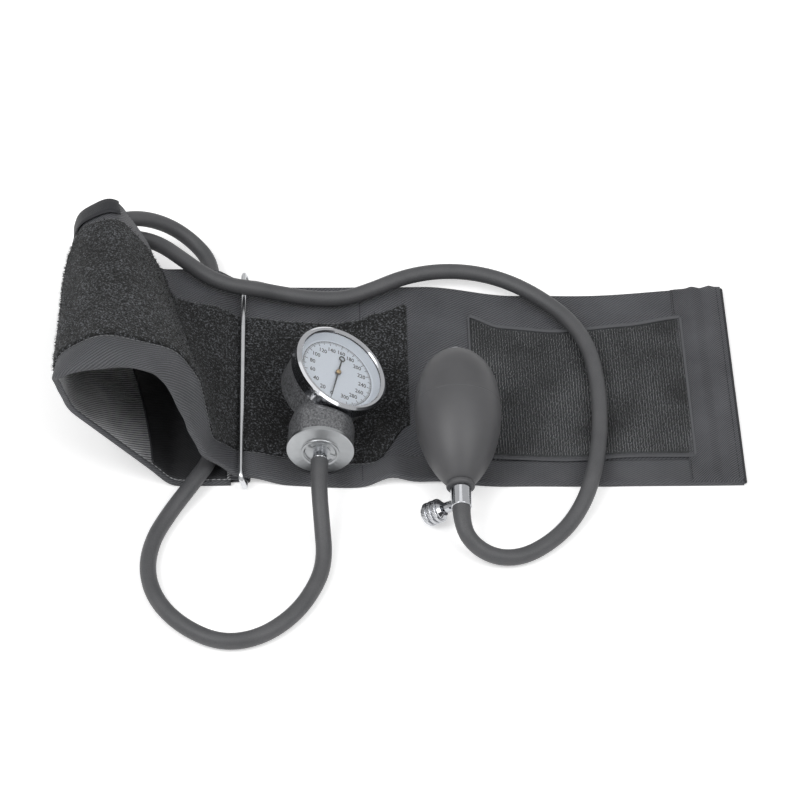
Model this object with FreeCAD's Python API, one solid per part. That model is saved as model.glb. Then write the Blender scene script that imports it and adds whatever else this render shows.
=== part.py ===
import FreeCAD, Part
import math
import os

os.makedirs("parts", exist_ok=True)
V = FreeCAD.Vector

# Aneroid upper arm blood pressure monitor. Millimetres, +X along the band to its free end,
# +Y away from the viewer, +Z up. The table is z = 0 and the D-ring stands at RING_X.

# ---- band ---------------------------------------------------------------------------------
RING_X = -93.0          # where the band passes through the ring
HALF_WIDTH = 74.0       # half the band's width
FREE_LENGTH = 280.5     # ring to free end
LAYER_GAP = 0.2         # air between neighbouring layers
CORE_HALF = 0.6         # half the thickness of the bladder or fleece
CLOTH = 0.9             # thickness of the outer cloth and of the lining
TAPE = 0.5              # thickness of the hem tape
PAD = 1.2               # thickness of the loop pad and the hook pad
FRONT_LEAN = 0.11       # how far the front rim leans back for each mm of height
BACK_LEAN = 0.09        # the same for the rear rim
BAND_MID = CORE_HALF + LAYER_GAP + CLOTH   # height of the band's middle where it lies flat
RING_MID = 7.5          # the same where it passes over the ring's lower bar
# How far each rim of the flat part swings in (+) or out (-) as the band lies: (from the free end, by).
FRONT_SWING = [(0, -6.3), (72, -5.6), (130, -4.4), (180, -1.0), (215, -3.4), (270, 0)]
BACK_SWING = [(0, 6.2), (80, 11.0), (120, 10.0), (175, 1.5), (215, 1.0), (270, 0)]

# Middle line of the band as corners to be rounded: (distance left of the ring, height, radius).
FRONT_CORNERS = [(-24, BAND_MID, 14), (-8, RING_MID, 12), (3, RING_MID, 7), (14.8, 34, 40),
                 (19.5, 78, 22), (30, 99, 18), (68, 112, 20), (93.5, 96, 14), (89.5, 60, 12),
                 (46, 13, 16), (37, BAND_MID, 8)]
BACK_CORNERS = [(-24, BAND_MID, 14), (-8, RING_MID, 12), (3, 8.0, 7), (14, 16.8, 9),
                (49, 17.2, 5), (54.5, 40, 20), (70.5, 72.5, 5), (89, 61, 9), (101.5, 13, 8),
                (97, BAND_MID, 4), (60, BAND_MID + 0.05, 8)]
LOWER_END = 4.2         # the lower layer stops this far left of the ring, at its hem

# ---- ring ---------------------------------------------------------------------------------
RING_WIRE = 1.5         # radius of the ring's wire
RING_SPAN = 11.0        # between the middles of its two long bars
RING_ROOM = 4.3         # from the band's rim to the middle of an end bar
RING_HALF = HALF_WIDTH + RING_ROOM
RING_CORNER = 3.5
RING_LEAN = 12.0        # degrees it leans towards the arm loop
RING_PIVOT = V(-89.0, -1.0, 2.5)
RUN_GAP = 0.06          # radial play of every turning or sliding fit

# ---- hoses --------------------------------------------------------------------------------
HOSE = 9.0
PORT_R = 5.4
PORT_GAP = 0.9          # from the rear binding to a port's stub

BULB_HOSE_ROUTE = [
    (-178.0, 89.6, 27.0), (-166.3, 93.2, 27.0), (-153.0, 93.4, 27.2), (-139.5, 87.6, 27.4),
    (-125.5, 74.2, 27.4), (-112.0, 61.2, 27.0), (-99.0, 56.4, 24.2), (-86.0, 57.8, 20.0),
    (-69.0, 60.6, 11.8), (-51.0, 58.2, 9.8), (-33.0, 57.6, 9.8), (-16.0, 64.0, 10.8),
    (0.5, 71.8, 12.0), (17.0, 76.2, 12.0), (34.0, 76.6, 12.0), (51.0, 72.8, 12.0),
    (67.5, 65.4, 11.2), (83.5, 53.6, 10.0), (98.0, 37.0, 10.0), (107.0, 16.0, 10.0),
    (110.0, -8.0, 10.0), (110.2, -32.0, 10.0), (108.0, -56.0, 10.4), (104.2, -77.5, 12.4),
    (98.3, -95.0, 8.8), (89.0, -110.0, 4.9), (76.5, -123.2, 4.8), (62.0, -132.2, 4.9),
    (47.6, -133.6, 6.4), (35.8, -128.4, 10.4)]

GAUGE_HOSE_ROUTE = [
    (-174.6, 87.0, 44.0), (-162.5, 94.6, 41.4), (-148.5, 102.6, 34.0), (-133.5, 106.6, 22.5),
    (-120.2, 101.6, 13.2), (-111.2, 90.0, 9.2), (-109.2, 69.0, 8.9), (-106.8, 36.0, 8.9),
    (-105.8, -22.0, 9.0), (-106.6, -60.0, 9.2), (-117.5, -78.8, 9.0), (-131.0, -98.0, 4.9),
    (-139.6, -117.0, 4.8), (-141.8, -138.0, 4.8), (-135.5, -158.5, 4.8), (-121.0, -175.5, 4.8),
    (-101.0, -186.6, 4.8), (-80.0, -183.6, 4.8), (-61.0, -168.4, 4.8), (-49.0, -147.0, 4.8),
    (-45.4, -130.0, 5.4), (-46.6, -114.0, 11.6)]

# ---- bulb ---------------------------------------------------------------------------------
BULB_CENTRE = V(29.2, -48.3, 29.1)   # middle of its widest section
BULB_TILT = 9.0                      # degrees its valve end points down
# Outline of the rubber: (distance towards the valve, radius).
BULB_OUTER = [(-38.3, 6.6), (-36.6, 10.0), (-33.0, 14.2), (-27.0, 18.6), (-19.0, 21.9),
              (-9.5, 23.6), (0, 24.0), (10.0, 23.4), (20.0, 21.4), (29.0, 18.3), (36.0, 14.9),
              (41.4, 11.4), (44.6, 8.9), (46.0, 7.1)]
BULB_INNER = [(40.6, 4.6), (39.0, 9.0), (34.4, 12.6), (27.8, 15.9), (19.0, 18.8), (9.5, 20.8),
              (0, 21.4), (-9.0, 21.0), (-18.0, 19.3), (-25.5, 16.2), (-31.0, 12.2), (-33.6, 8.6),
              (-34.2, 5.0)]
COLLAR_END = 49.0
COLLAR_R = 7.9
NECK_BORE = 4.6
REAR_BORE = 5.0

# ---- valve --------------------------------------------------------------------------------
TUBE_R = 5.75
TUBE_END = 61.3
BOSS_AT = 57.5          # distance of the side boss from the bulb's widest section
BOSS_R = 3.1
BOSS_END = 9.9          # from the tube's middle
BOSS_DROP = 38.0        # degrees the boss points below the level
KNOB_R = 6.7
KNOB_FROM, KNOB_TO = 11.8, 24.0
SPINDLE_R = 1.6

# ---- gauge --------------------------------------------------------------------------------
GAUGE_FOOT = V(-47.2, -70.2, 23.45)  # middle of the chrome base disc
GAUGE_YAW = 3.0                      # degrees the stem turns to the right, away from the viewer
GAUGE_TILT = 30.0                    # degrees the dial faces to the right
STEM = 46.0                          # base disc to dial axis
DISC_R = 18.7
BARREL_R = 18.3
BARREL_END = 16.0
HEAD_BACK = -8.0                     # heights below are along the dial axis, from the stem axis
HEAD_RIM = 14.5
RIM_R = 26.3
CAVITY_R = 24.2
LEDGE_R = 22.0
LEDGE = 4.0
BEZEL_R = 28.3
BEZEL_TOP = 21.2
LENS_R = 26.0
NOZZLE_R = 4.0
NOZZLE_END = -7.5

MODULE = 0.4
PINION_TEETH = 10
SECTOR_TEETH = 80                    # on the full circle, of which a part is cut
SECTOR_REACH = MODULE * (PINION_TEETH + SECTOR_TEETH) / 2
SWEEP = 330.0                        # degrees the pointer turns over the whole scale
SECTOR_SWEEP = SWEEP * PINION_TEETH / SECTOR_TEETH
POINTER_ZERO = 190.0                 # degrees clockwise from the top of the dial
ROCKER_X, ROCKER_Z = -2.6, 6.2
ROCKER_ARM = 4.5
TAIL = 2.8                           # sector pivot to the pin that the rocker pushes

report = []


def save(name, shape):
    """Write one piece to its own file and note its volume."""
    solids = shape.Solids
    if not solids or not shape.isValid():
        raise ValueError(name + " is not a valid solid")
    out = solids[0] if len(solids) == 1 else Part.makeCompound(solids)
    out.exportStep("parts/" + name + ".step")
    report.append((name, len(solids), out.Volume))
    return out


def turned(points):
    """Solid of revolution about Z from (height, radius) corners, closed in the order given."""
    corners = [V(r, 0, z) for z, r in points]
    face = Part.Face(Part.makePolygon(corners + corners[:1]))
    return face.revolve(V(0, 0, 0), V(0, 0, 1), 360)


def rod(radius, start, direction, length):
    return Part.makeCylinder(radius, length, V(*start), V(*direction))


def ring(outer, inner, z0, z1, centre=(0, 0)):
    x, y = centre
    hole = rod(inner, (x, y, z0 - 1), (0, 0, 1), z1 - z0 + 2)
    return rod(outer, (x, y, z0), (0, 0, 1), z1 - z0).cut(hole)


def box(x0, x1, y0, y1, z0, z1):
    return Part.makeBox(x1 - x0, y1 - y0, z1 - z0, V(x0, y0, z0))


def placed(shape, frame):
    out = shape.copy()
    out.Placement = frame.multiply(out.Placement)
    return out


def frame_from(origin, x_axis, y_axis):
    """Placement whose X and Y run along the two given directions."""
    x = V(x_axis).normalize()
    z = x.cross(V(y_axis)).normalize()
    y = z.cross(x)
    matrix = FreeCAD.Matrix(x.x, y.x, z.x, origin.x, x.y, y.y, z.y, origin.y,
                            x.z, y.z, z.z, origin.z, 0, 0, 0, 1)
    return FreeCAD.Placement(matrix)


# ---- the band -----------------------------------------------------------------------------
def rounded_path(corners, start, end):
    """Line through the given corners, rounded by tangent arcs."""
    nodes = [start] + [(c[0], c[1]) for c in corners] + [end]
    here, edges = V(start[0], start[1], 0), []
    for i, corner in enumerate(corners):
        before, point, after = [V(n[0], n[1], 0) for n in nodes[i:i + 3]]
        back, onward = before - point, after - point
        turn = math.pi - back.getAngle(onward)
        if turn < 1e-3:
            continue
        reach = min(corner[2] * math.tan(turn / 2), 0.46 * back.Length, 0.46 * onward.Length)
        radius = reach / math.tan(turn / 2)
        back.normalize()
        onward.normalize()
        first, last = point + back * reach, point + onward * reach
        middle = point + (back + onward).normalize() * (radius / math.cos(turn / 2) - radius)
        edges += [Part.makeLine(here, first), Part.Arc(first, middle, last).toShape()]
        here = last
    edges.append(Part.makeLine(here, V(end[0], end[1], 0)))
    return Part.Wire(edges)


def sampled(wire):
    """Places along a line as (left, height, normal left, normal height): a few on the flat,
    then evenly spaced over the ring and round the arm loop."""
    fine = wire.discretize(Number=1500)
    run = [0.0]
    for p, q in zip(fine, fine[1:]):
        run.append(run[-1] + (q - p).Length)
    wanted = [FLAT_RUN * share for share in FLAT_SHARES]
    wanted += [FLAT_RUN + HUMP_RUN * i / HUMP_STEPS for i in range(HUMP_STEPS)]
    lead = FLAT_RUN + HUMP_RUN
    wanted += [lead + (run[-1] - lead) * i / LOOP_STEPS for i in range(LOOP_STEPS + 1)]
    places, k = [], 0
    for distance in wanted:
        while k < len(fine) - 2 and run[k + 1] < distance:
            k += 1
        part = (distance - run[k]) / (run[k + 1] - run[k])
        point = fine[k] * (1 - part) + fine[k + 1] * part
        along = fine[min(k + 2, len(fine) - 1)] - fine[max(k - 1, 0)]
        if distance < FLAT_RUN:
            along = V(1, 0, 0)
        if distance > run[-1] - 3:
            along = V(-1, 0, 0)
        along.normalize()
        places.append((point.x, point.y, -along.y, along.x))
    return places


FLAT_RUN = FREE_LENGTH - 40
FLAT_SHARES = (0, 0.3, 0.55, 0.765, 0.9)
HUMP_RUN, HUMP_STEPS = 45.0, 12
LOOP_STEPS = 90
START, END = (-FREE_LENGTH, BAND_MID), (LOWER_END, BAND_MID)
FRONT_PATH = sampled(rounded_path(FRONT_CORNERS, START, END))
BACK_PATH = sampled(rounded_path(BACK_CORNERS, START, END))
LOOP_FIRST = len(FLAT_SHARES) + HUMP_STEPS
LAST = len(FRONT_PATH) - 1


def loop_sample(share):
    """Index of the sample that lies the given share of the way round the arm loop."""
    return LOOP_FIRST + round(share * LOOP_STEPS)


def swing(stops, run):
    """How far a rim stands in from its straight line, eased from one stop to the next."""
    for (start, here), (end, ahead) in zip(stops, stops[1:]):
        if run <= end:
            t = (run - start) / (end - start)
            return here + (ahead - here) * t * t * (3 - 2 * t)
    return stops[-1][1]


def flat_y(run, across):
    """World Y on the flat part, run from the free end and a share across from the front rim."""
    front, back = -HALF_WIDTH + swing(FRONT_SWING, run), HALF_WIDTH - swing(BACK_SWING, run)
    return front * (1 - across) + back * across


def band_point(index, offset, across):
    """World point of the band: sample index, height above its middle, and place across it,
    0 at the front rim and 1 at the rear rim."""
    ends = []
    for path, rim, lean in ((FRONT_PATH, 0, FRONT_LEAN), (BACK_PATH, 1, BACK_LEAN)):
        left, height, nl, nh = path[index]
        run = FREE_LENGTH + left
        left, height = left + nl * offset, height + nh * offset
        edge = flat_y(run, rim) if index < LOOP_FIRST else (2 * rim - 1) * HALF_WIDTH
        ends.append(V(RING_X - left, edge + lean * (height - BAND_MID), height))
    return ends[0] * (1 - across) + ends[1] * across


def band(section, first=0, last=LAST):
    """Solid strip of the band. The section is a closed list of (offset, across) corners: four
    for a flat layer, six for a tape with one flange, eight for one folded round both faces. It is
    carried along the band from one sample to another."""
    count = len(section)
    caps = {4: [(0, 1, 2, 3)], 6: [(0, 1, 4, 5), (1, 2, 3, 4)],
            8: [(0, 1, 4, 5), (1, 2, 3, 4), (0, 5, 6, 7)]}[count]
    triangles = []

    def quad(a, b, c, d, flip=False):
        triangles.extend([(a, b, d), (b, c, d)] if flip else [(a, b, c), (a, c, d)])

    grid = [[band_point(i, offset, across) for offset, across in section]
            for i in range(first, last + 1)]
    for here, ahead in zip(grid, grid[1:]):
        for k in range(count):
            j = (k + 1) % count
            quad(here[k], ahead[k], ahead[j], here[j], section[k][1] > section[j][1])
    for a, b, c, d in caps:
        quad(grid[0][a], grid[0][b], grid[0][c], grid[0][d])
        quad(grid[-1][d], grid[-1][c], grid[-1][b], grid[-1][a])
    faces = [Part.Face(Part.makePolygon([a, b, c, a])) for a, b, c in triangles]
    shell = Part.makeShell(faces)
    shell.sewShape()
    solid = Part.makeSolid(shell)
    if solid.Volume < 0:
        solid.reverse()
    return solid


def flat_strip(low, high, front, back):
    return [(low, front), (high, front), (high, back), (low, back)]


CLOTH_LOW = CORE_HALF + LAYER_GAP
CLOTH_TOP = CLOTH_LOW + CLOTH
TAPE_LOW = CLOTH_TOP + LAYER_GAP
TAPE_TOP = TAPE_LOW + TAPE
INSET = 0.005           # share of the width that the hem tape closes at each rim
FRONT_TAPE, BACK_TAPE = 0.088, 0.93
PAD_FRONT, PAD_BACK = 0.115, 0.81
PAD_LOW = TAPE_LOW + 0.15
PAD_TOP = PAD_LOW + PAD

save("cuff_outer_cloth", band(flat_strip(CLOTH_LOW, CLOTH_TOP, INSET, 1 - INSET)))
save("cuff_lining", band(flat_strip(-CLOTH_TOP, -CLOTH_LOW, INSET, 1 - INSET)))
BLADDER_FROM, BLADDER_TO = loop_sample(0.233), loop_sample(0.833)
save("bladder", band(flat_strip(-CORE_HALF, CORE_HALF, 0.07, 0.93), BLADDER_FROM, BLADDER_TO))
for name, rim, wall, edge in (("front_binding", -0.003, INSET - 0.0015, FRONT_TAPE),
                              ("rear_binding", 1.003, 1.0015 - INSET, BACK_TAPE)):
    save(name, band([(-CLOTH_TOP, rim), (TAPE_TOP, rim), (TAPE_TOP, edge), (TAPE_LOW, edge),
                     (TAPE_LOW, wall), (-CLOTH_TOP, wall)]))
PAD_FIRST, PAD_LAST = 3, loop_sample(0.7)
loop_pad = band(flat_strip(PAD_LOW, PAD_TOP, PAD_FRONT, PAD_BACK), PAD_FIRST, PAD_LAST)
PAD_CORNER = (15.0, 20.0)               # its near corner is cut off, so long along and across
corner = band_point(PAD_FIRST, 0, PAD_FRONT)
cut_off = [V(corner.x + 1, corner.y - 1, 0), V(corner.x + 1, corner.y + PAD_CORNER[1], 0),
           V(corner.x - PAD_CORNER[0], corner.y - 1, 0)]
save("loop_pad", loop_pad.cut(Part.Face(Part.makePolygon(cut_off + cut_off[:1])).extrude(V(0, 0, 9))))
LABEL_LOW = TAPE_TOP + LAYER_GAP
LABEL_TOP = LABEL_LOW + 0.4
LABEL_UNDER = -TAPE_LOW
save("size_label", band([(LABEL_TOP, 1.0075), (LABEL_UNDER - 0.4, 1.0075), (LABEL_UNDER - 0.4, 0.945),
                         (LABEL_UNDER, 0.945), (LABEL_UNDER, 1.0045), (LABEL_LOW, 1.0045),
                         (LABEL_LOW, 0.945), (LABEL_TOP, 0.945)], loop_sample(0.365), loop_sample(0.48)))

FREE_END = RING_X + FREE_LENGTH
save("cuff_interlining", band(flat_strip(-CORE_HALF, CORE_HALF, 0.05, 0.94), 0, len(FLAT_SHARES)))
HOOK_RUN = 28.0                         # from the free end to the hook pad
HOOK_LONG, HOOK_FRONT, HOOK_BACK = 120.5, 0.143, 0.89
hook_middle = HOOK_RUN + HOOK_LONG / 2
save("hook_pad", box(FREE_END - HOOK_RUN - HOOK_LONG, FREE_END - HOOK_RUN, flat_y(hook_middle, HOOK_FRONT),
                     flat_y(hook_middle, HOOK_BACK), BAND_MID + PAD_LOW, BAND_MID + PAD_TOP))
TAB_RUN, TAB_FRONT, TAB_BACK = 26.0, 0.1, 0.92
TAB_THICK, TAB_FOOT = 0.9, 0.3
tab_low = BAND_MID + TAPE_LOW
tab_front, tab_back = flat_y(TAB_RUN, TAB_FRONT), flat_y(TAB_RUN, TAB_BACK)
tab_face = FREE_END + LAYER_GAP
save("end_tab", box(FREE_END - TAB_RUN, tab_face, tab_front, tab_back, tab_low, tab_low + TAB_THICK)
     .fuse(box(tab_face, tab_face + TAB_THICK, tab_front, tab_back, TAB_FOOT, tab_low + TAB_THICK)).removeSplitter())

# Cloth sleeve that holds the ring's lower bar, and the ring.
HEM_HALF = HALF_WIDTH - 1.5
hem_tail = box(RING_X - LOWER_END + LAYER_GAP, RING_PIVOT.x, -HEM_HALF, HEM_HALF, 0.6, 3.3)
hem = rod(RING_PIVOT.z, (RING_PIVOT.x, -HEM_HALF, RING_PIVOT.z), (0, 1, 0), 2 * HEM_HALF).fuse(hem_tail)
hem_bore = rod(RING_WIRE + RUN_GAP, (RING_PIVOT.x, -HEM_HALF - 1, RING_PIVOT.z), (0, 1, 0), 2 * HEM_HALF + 2)
save("ring_hem", hem.cut(hem_bore).removeSplitter())


def rounded_loop(half, span, corner):
    """Closed wire of a long rounded rectangle in the YZ plane, standing on the Y axis."""
    y, z, r = half, span, corner
    b = r * (1 - math.sqrt(0.5))
    line = lambda p, q: Part.makeLine(V(0, *p), V(0, *q))
    arc = lambda p, q, s: Part.Arc(V(0, *p), V(0, *q), V(0, *s)).toShape()
    return Part.Wire([line((-y + r, 0), (y - r, 0)), arc((y - r, 0), (y - b, b), (y, r)),
                      line((y, r), (y, z - r)), arc((y, z - r), (y - b, z - b), (y - r, z)),
                      line((y - r, z), (-y + r, z)), arc((-y + r, z), (-y + b, z - b), (-y, z - r)),
                      line((-y, z - r), (-y, r)), arc((-y, r), (-y + b, b), (-y + r, 0))])


ring_wire = rounded_loop(RING_HALF, RING_SPAN, RING_CORNER)
ring_section = Part.Wire(Part.makeCircle(RING_WIRE, V(0, -RING_HALF + RING_CORNER, 0), V(0, 1, 0)))
d_ring = ring_wire.makePipeShell([ring_section], True, False)
d_ring.rotate(V(0, 0, 0), V(0, 1, 0), -RING_LEAN)
d_ring.translate(RING_PIVOT)
save("d_ring", d_ring)


# ---- hoses --------------------------------------------------------------------------------
def hose(name, route):
    """Round hose along straight runs joined by tangent arcs."""
    points = [V(*p) for p in route]
    cuts = []
    for before, corner, after in zip(points, points[1:], points[2:]):
        a, b = (before - corner), (after - corner)
        turn = math.pi - a.getAngle(b)
        reach = 0.45 * min(a.Length, b.Length)
        a.normalize()
        b.normalize()
        radius = reach / math.tan(turn / 2)
        start, end = corner + a * reach, corner + b * reach
        middle = corner + (a + b).normalize() * (radius / math.cos(turn / 2) - radius)
        cuts.append((start, middle, end, radius))
    edges = []
    here = points[0]
    for start, middle, end, radius in cuts:
        edges += [Part.LineSegment(here, start).toShape(), Part.Arc(start, middle, end).toShape()]
        here = end
    edges.append(Part.LineSegment(here, points[-1]).toShape())
    path = Part.Wire(edges)
    section = Part.Wire(Part.makeCircle(HOSE / 2, points[0], points[1] - points[0]))
    solid = save(name, path.makePipeShell([section], True, False))
    ideal = math.pi * HOSE * HOSE / 4 * path.Length
    print(name, "length", round(path.Length, 1), "volume share", round(solid.Volume / ideal, 4),
          "radii", [round(c[3]) for c in cuts])
    return path.Length


def port(name, face, towards):
    """Rubber sleeve from the bladder's rear edge to the hose end: a stub and an angled socket."""
    face, towards = V(*face), V(*towards)
    away = (face - towards).normalize()
    elbow = face + away * 8.0
    rim = HALF_WIDTH + BACK_LEAN * (elbow.z - BAND_MID) + PORT_GAP
    stub = rod(3.4, (elbow.x, rim, elbow.z), (0, 1, 0), elbow.y - rim)
    socket = rod(PORT_R, (face.x, face.y, face.z), (away.x, away.y, away.z), 8.0)
    solid = stub.fuse(socket).fuse(Part.makeSphere(PORT_R, elbow)).removeSplitter()
    save(name, solid)


# ---- bulb and valve: built along +Z, the way air leaves, with the boss along -X --------------
tilt = math.radians(BULB_TILT)
bulb_z = V(0, -math.cos(tilt), -math.sin(tilt))
drop = math.radians(BOSS_DROP)
bulb_up = V(0, -math.sin(tilt), math.cos(tilt))
boss_dir = V(-1, 0, 0) * math.cos(drop) - bulb_up * math.sin(drop)
side_dir = bulb_z.cross(boss_dir * -1)
BULB_FRAME = frame_from(BULB_CENTRE, boss_dir * -1, side_dir)


def spline_edge(points):
    curve = Part.BSplineCurve()
    curve.interpolate([V(r, 0, z) for z, r in points])
    return curve.toShape()


def profile_line(points):
    corners = [V(r, 0, z) for z, r in points]
    return [Part.makeLine(a, b) for a, b in zip(corners, corners[1:])]


collar = [(46.0, 7.1), (46.5, COLLAR_R - 0.2), (47.1, COLLAR_R), (48.3, COLLAR_R),
          (COLLAR_END, COLLAR_R - 0.6), (COLLAR_END, NECK_BORE), BULB_INNER[0]]
rear = [BULB_INNER[-1], (BULB_OUTER[0][0], REAR_BORE), BULB_OUTER[0]]
bulb_edges = [spline_edge(BULB_OUTER)] + profile_line(collar) + [spline_edge(BULB_INNER)]
bulb_face = Part.Face(Part.Wire(Part.__sortEdges__(bulb_edges + profile_line(rear))))
save("bulb", placed(bulb_face.revolve(V(0, 0, 0), V(0, 0, 1), 360), BULB_FRAME))

save("intake_valve_housing", placed(turned(
    [(-39.5, 2.7), (-39.5, 5.9), (-39.1, 6.5), (-38.3, 6.5), (-38.3, REAR_BORE),
     (-31.0, REAR_BORE), (-31.0, 2.9), (-31.6, 2.9), (-31.6, 3.7), (-34.6, 3.7), (-34.6, 1.8),
     (-38.6, 1.8), (-38.6, 2.7)]), BULB_FRAME))
screen = rod(2.7, (0, 0, -39.1), (0, 0, 1), 0.5)
for i in range(-2, 3):
    for j in range(-2, 3):
        if math.hypot(i, j) < 2.3:
            screen = screen.cut(box(i * 0.95 - 0.3, i * 0.95 + 0.3, j * 0.95 - 0.3, j * 0.95 + 0.3, -40, -38))
save("intake_filter_screen", placed(screen, BULB_FRAME))
save("intake_valve_disc", placed(turned([(-34.55, 0), (-34.55, 3.62), (-33.85, 3.62), (-33.85, 0.9),
                                         (-33.5, 0.9), (-33.5, 0)]), BULB_FRAME))

# Valve body: plug in the bulb's neck, tube, side boss and the passage between them.
PLUG = COLLAR_END - 12.4        # where the plug starts, inside the bulb
CHECK_R = 3.1                   # bore that holds the outlet valve
body = turned([(PLUG, 0), (PLUG, 4.1), (PLUG + 0.6, NECK_BORE), (COLLAR_END, NECK_BORE),
               (COLLAR_END, TUBE_R - 0.5), (COLLAR_END + 0.5, TUBE_R), (TUBE_END - 0.6, TUBE_R),
               (TUBE_END, TUBE_R - 0.6), (TUBE_END, 0)])
body = body.fuse(rod(BOSS_R, (0, 0, BOSS_AT), (-1, 0, 0), BOSS_END))
body = body.cut(rod(CHECK_R, (0, 0, PLUG - 1), (0, 0, 1), 10.4))
body = body.cut(rod(1.9, (0, 0, PLUG + 9), (0, 0, 1), TUBE_END - PLUG))
body = body.cut(rod(0.9, (0, 0, BOSS_AT), (-1, 0, 0), 5.2))
body = body.cut(rod(SPINDLE_R + RUN_GAP, (-4.6, 0, BOSS_AT), (-1, 0, 0), 10))
body = body.cut(rod(0.7, (-6.3, 0, BOSS_AT), (0, 0.6, 0.8), 5))
body = body.cut(rod(2.35, (-7.0, 0, BOSS_AT), (-1, 0, 0), 3.4))
save("valve_body", placed(body.removeSplitter(), BULB_FRAME))

# The outlet valve is built from the plug's inner end at 0.
CHECK_FRAME = BULB_FRAME.multiply(FreeCAD.Placement(V(0, 0, PLUG), FreeCAD.Rotation()))
BALL_R = 1.6
save("outlet_valve_seat", placed(turned([(0.2, 1.0), (0.2, CHECK_R), (4.4, CHECK_R), (4.4, 1.5),
                                         (3.9, 1.0)]), CHECK_FRAME))
save("outlet_valve_ball", placed(Part.makeSphere(BALL_R, V(0, 0, 5.35)), CHECK_FRAME))
cage = turned([(4.4, BALL_R + RUN_GAP), (4.4, CHECK_R), (9.2, CHECK_R), (9.2, 0.9), (8.3, 0.9),
               (8.3, BALL_R + RUN_GAP)])
for turn_by in (0, 60, 120):
    slot = box(-2.6, 2.6, -0.4, 0.4, 6.6, 9.4)
    slot.rotate(V(0, 0, 0), V(0, 0, 1), turn_by)
    cage = cage.cut(slot)
save("outlet_ball_cage", placed(cage, CHECK_FRAME))

# Release screw, built along +Z from the tube's middle, then turned to the boss.
BOSS_FRAME = BULB_FRAME.multiply(FreeCAD.Placement(V(0, 0, BOSS_AT), FreeCAD.Rotation(V(0, 1, 0), -90)))
spindle = turned([(4.75, 0), (5.1, 0.55), (5.9, SPINDLE_R), (7.2, SPINDLE_R), (7.2, 1.2), (8.2, 1.2),
                  (8.2, SPINDLE_R), (KNOB_FROM, SPINDLE_R), (KNOB_FROM, 1.3), (20.0, 1.3), (20.0, 0)])
save("release_spindle", placed(spindle, BOSS_FRAME))
save("spindle_seal", placed(turned([(7.26, 1.2 + RUN_GAP), (7.26, 2.35 - RUN_GAP), (8.14, 2.35 - RUN_GAP),
                                    (8.14, 1.2 + RUN_GAP)]), BOSS_FRAME))
knob_outline = [(KNOB_FROM, 1.3), (KNOB_FROM, 4.2), (KNOB_FROM + 1.4, KNOB_R - 0.9),
                (KNOB_FROM + 2.2, KNOB_R - 0.9)]
band_long = (KNOB_TO - 0.6 - KNOB_FROM - 2.2) / 3
for i in range(3):
    z = KNOB_FROM + 2.2 + i * band_long
    knob_outline += [(z, KNOB_R), (z + band_long - 0.7, KNOB_R), (z + band_long - 0.7, KNOB_R - 0.9),
                     (z + band_long, KNOB_R - 0.9)]
knob_outline = knob_outline[:-1] + [(KNOB_TO, KNOB_R - 1.6), (KNOB_TO, 0), (20.1, 0), (20.1, 1.3)]
save("release_knob", placed(turned(knob_outline), BOSS_FRAME))

# ---- gauge: stem along +Y from the base disc, dial facing +Z ---------------------------------
yaw, lean = math.radians(GAUGE_YAW), math.radians(GAUGE_TILT)
stem_dir = V(math.sin(yaw), math.cos(yaw), 0)
level = V(math.cos(yaw), -math.sin(yaw), 0)
dial_x = level * math.cos(lean) - V(0, 0, 1) * math.sin(lean)
GAUGE_FRAME = frame_from(GAUGE_FOOT, dial_x, stem_dir)
HEAD_FRAME = GAUGE_FRAME.multiply(FreeCAD.Placement(V(0, STEM, 0), FreeCAD.Rotation()))
BASE_FRAME = GAUGE_FRAME.multiply(FreeCAD.Placement(V(0, 0, 0), FreeCAD.Rotation(V(1, 0, 0), -90)))


def head(shape):
    return placed(shape, HEAD_FRAME)


cup = turned([(HEAD_BACK, 0), (HEAD_BACK, 22.4), (HEAD_BACK + 1.6, 24.0), (11.8, RIM_R),
              (HEAD_RIM, RIM_R), (HEAD_RIM, 0)])
barrel = turned([(2.5, 0), (2.5, BARREL_R), (BARREL_END, BARREL_R), (24.0, 16.2), (36.0, 7.4),
                 (36.0, 0)])
barrel.rotate(V(0, 0, 0), V(1, 0, 0), -90)
barrel.translate(V(0, -STEM, 0))
case = cup.fuse(barrel.cut(rod(BEZEL_R + 0.5, (0, 0, 12.0), (0, 0, 1), 30)))
case = case.cut(rod(CAVITY_R, (0, 0, LEDGE), (0, 0, 1), 30)).cut(rod(LEDGE_R, (0, 0, -6), (0, 0, 1), 12))
well = turned([(2.4, 0), (2.4, 16.2), (13.0, 16.2), (14.5, 14.6), (14.5, 0)])
well.rotate(V(0, 0, 0), V(1, 0, 0), -90)
well.translate(V(0, -STEM, 0))
case = case.cut(well.cut(rod(BEZEL_R + 2.5, (0, 0, 10.2), (0, 0, 1), 30)))
case = case.cut(rod(2.0, (0, -STEM + 10, -2), (0, 1, 0), 16))
save("gauge_case", head(case.removeSplitter()))

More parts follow.
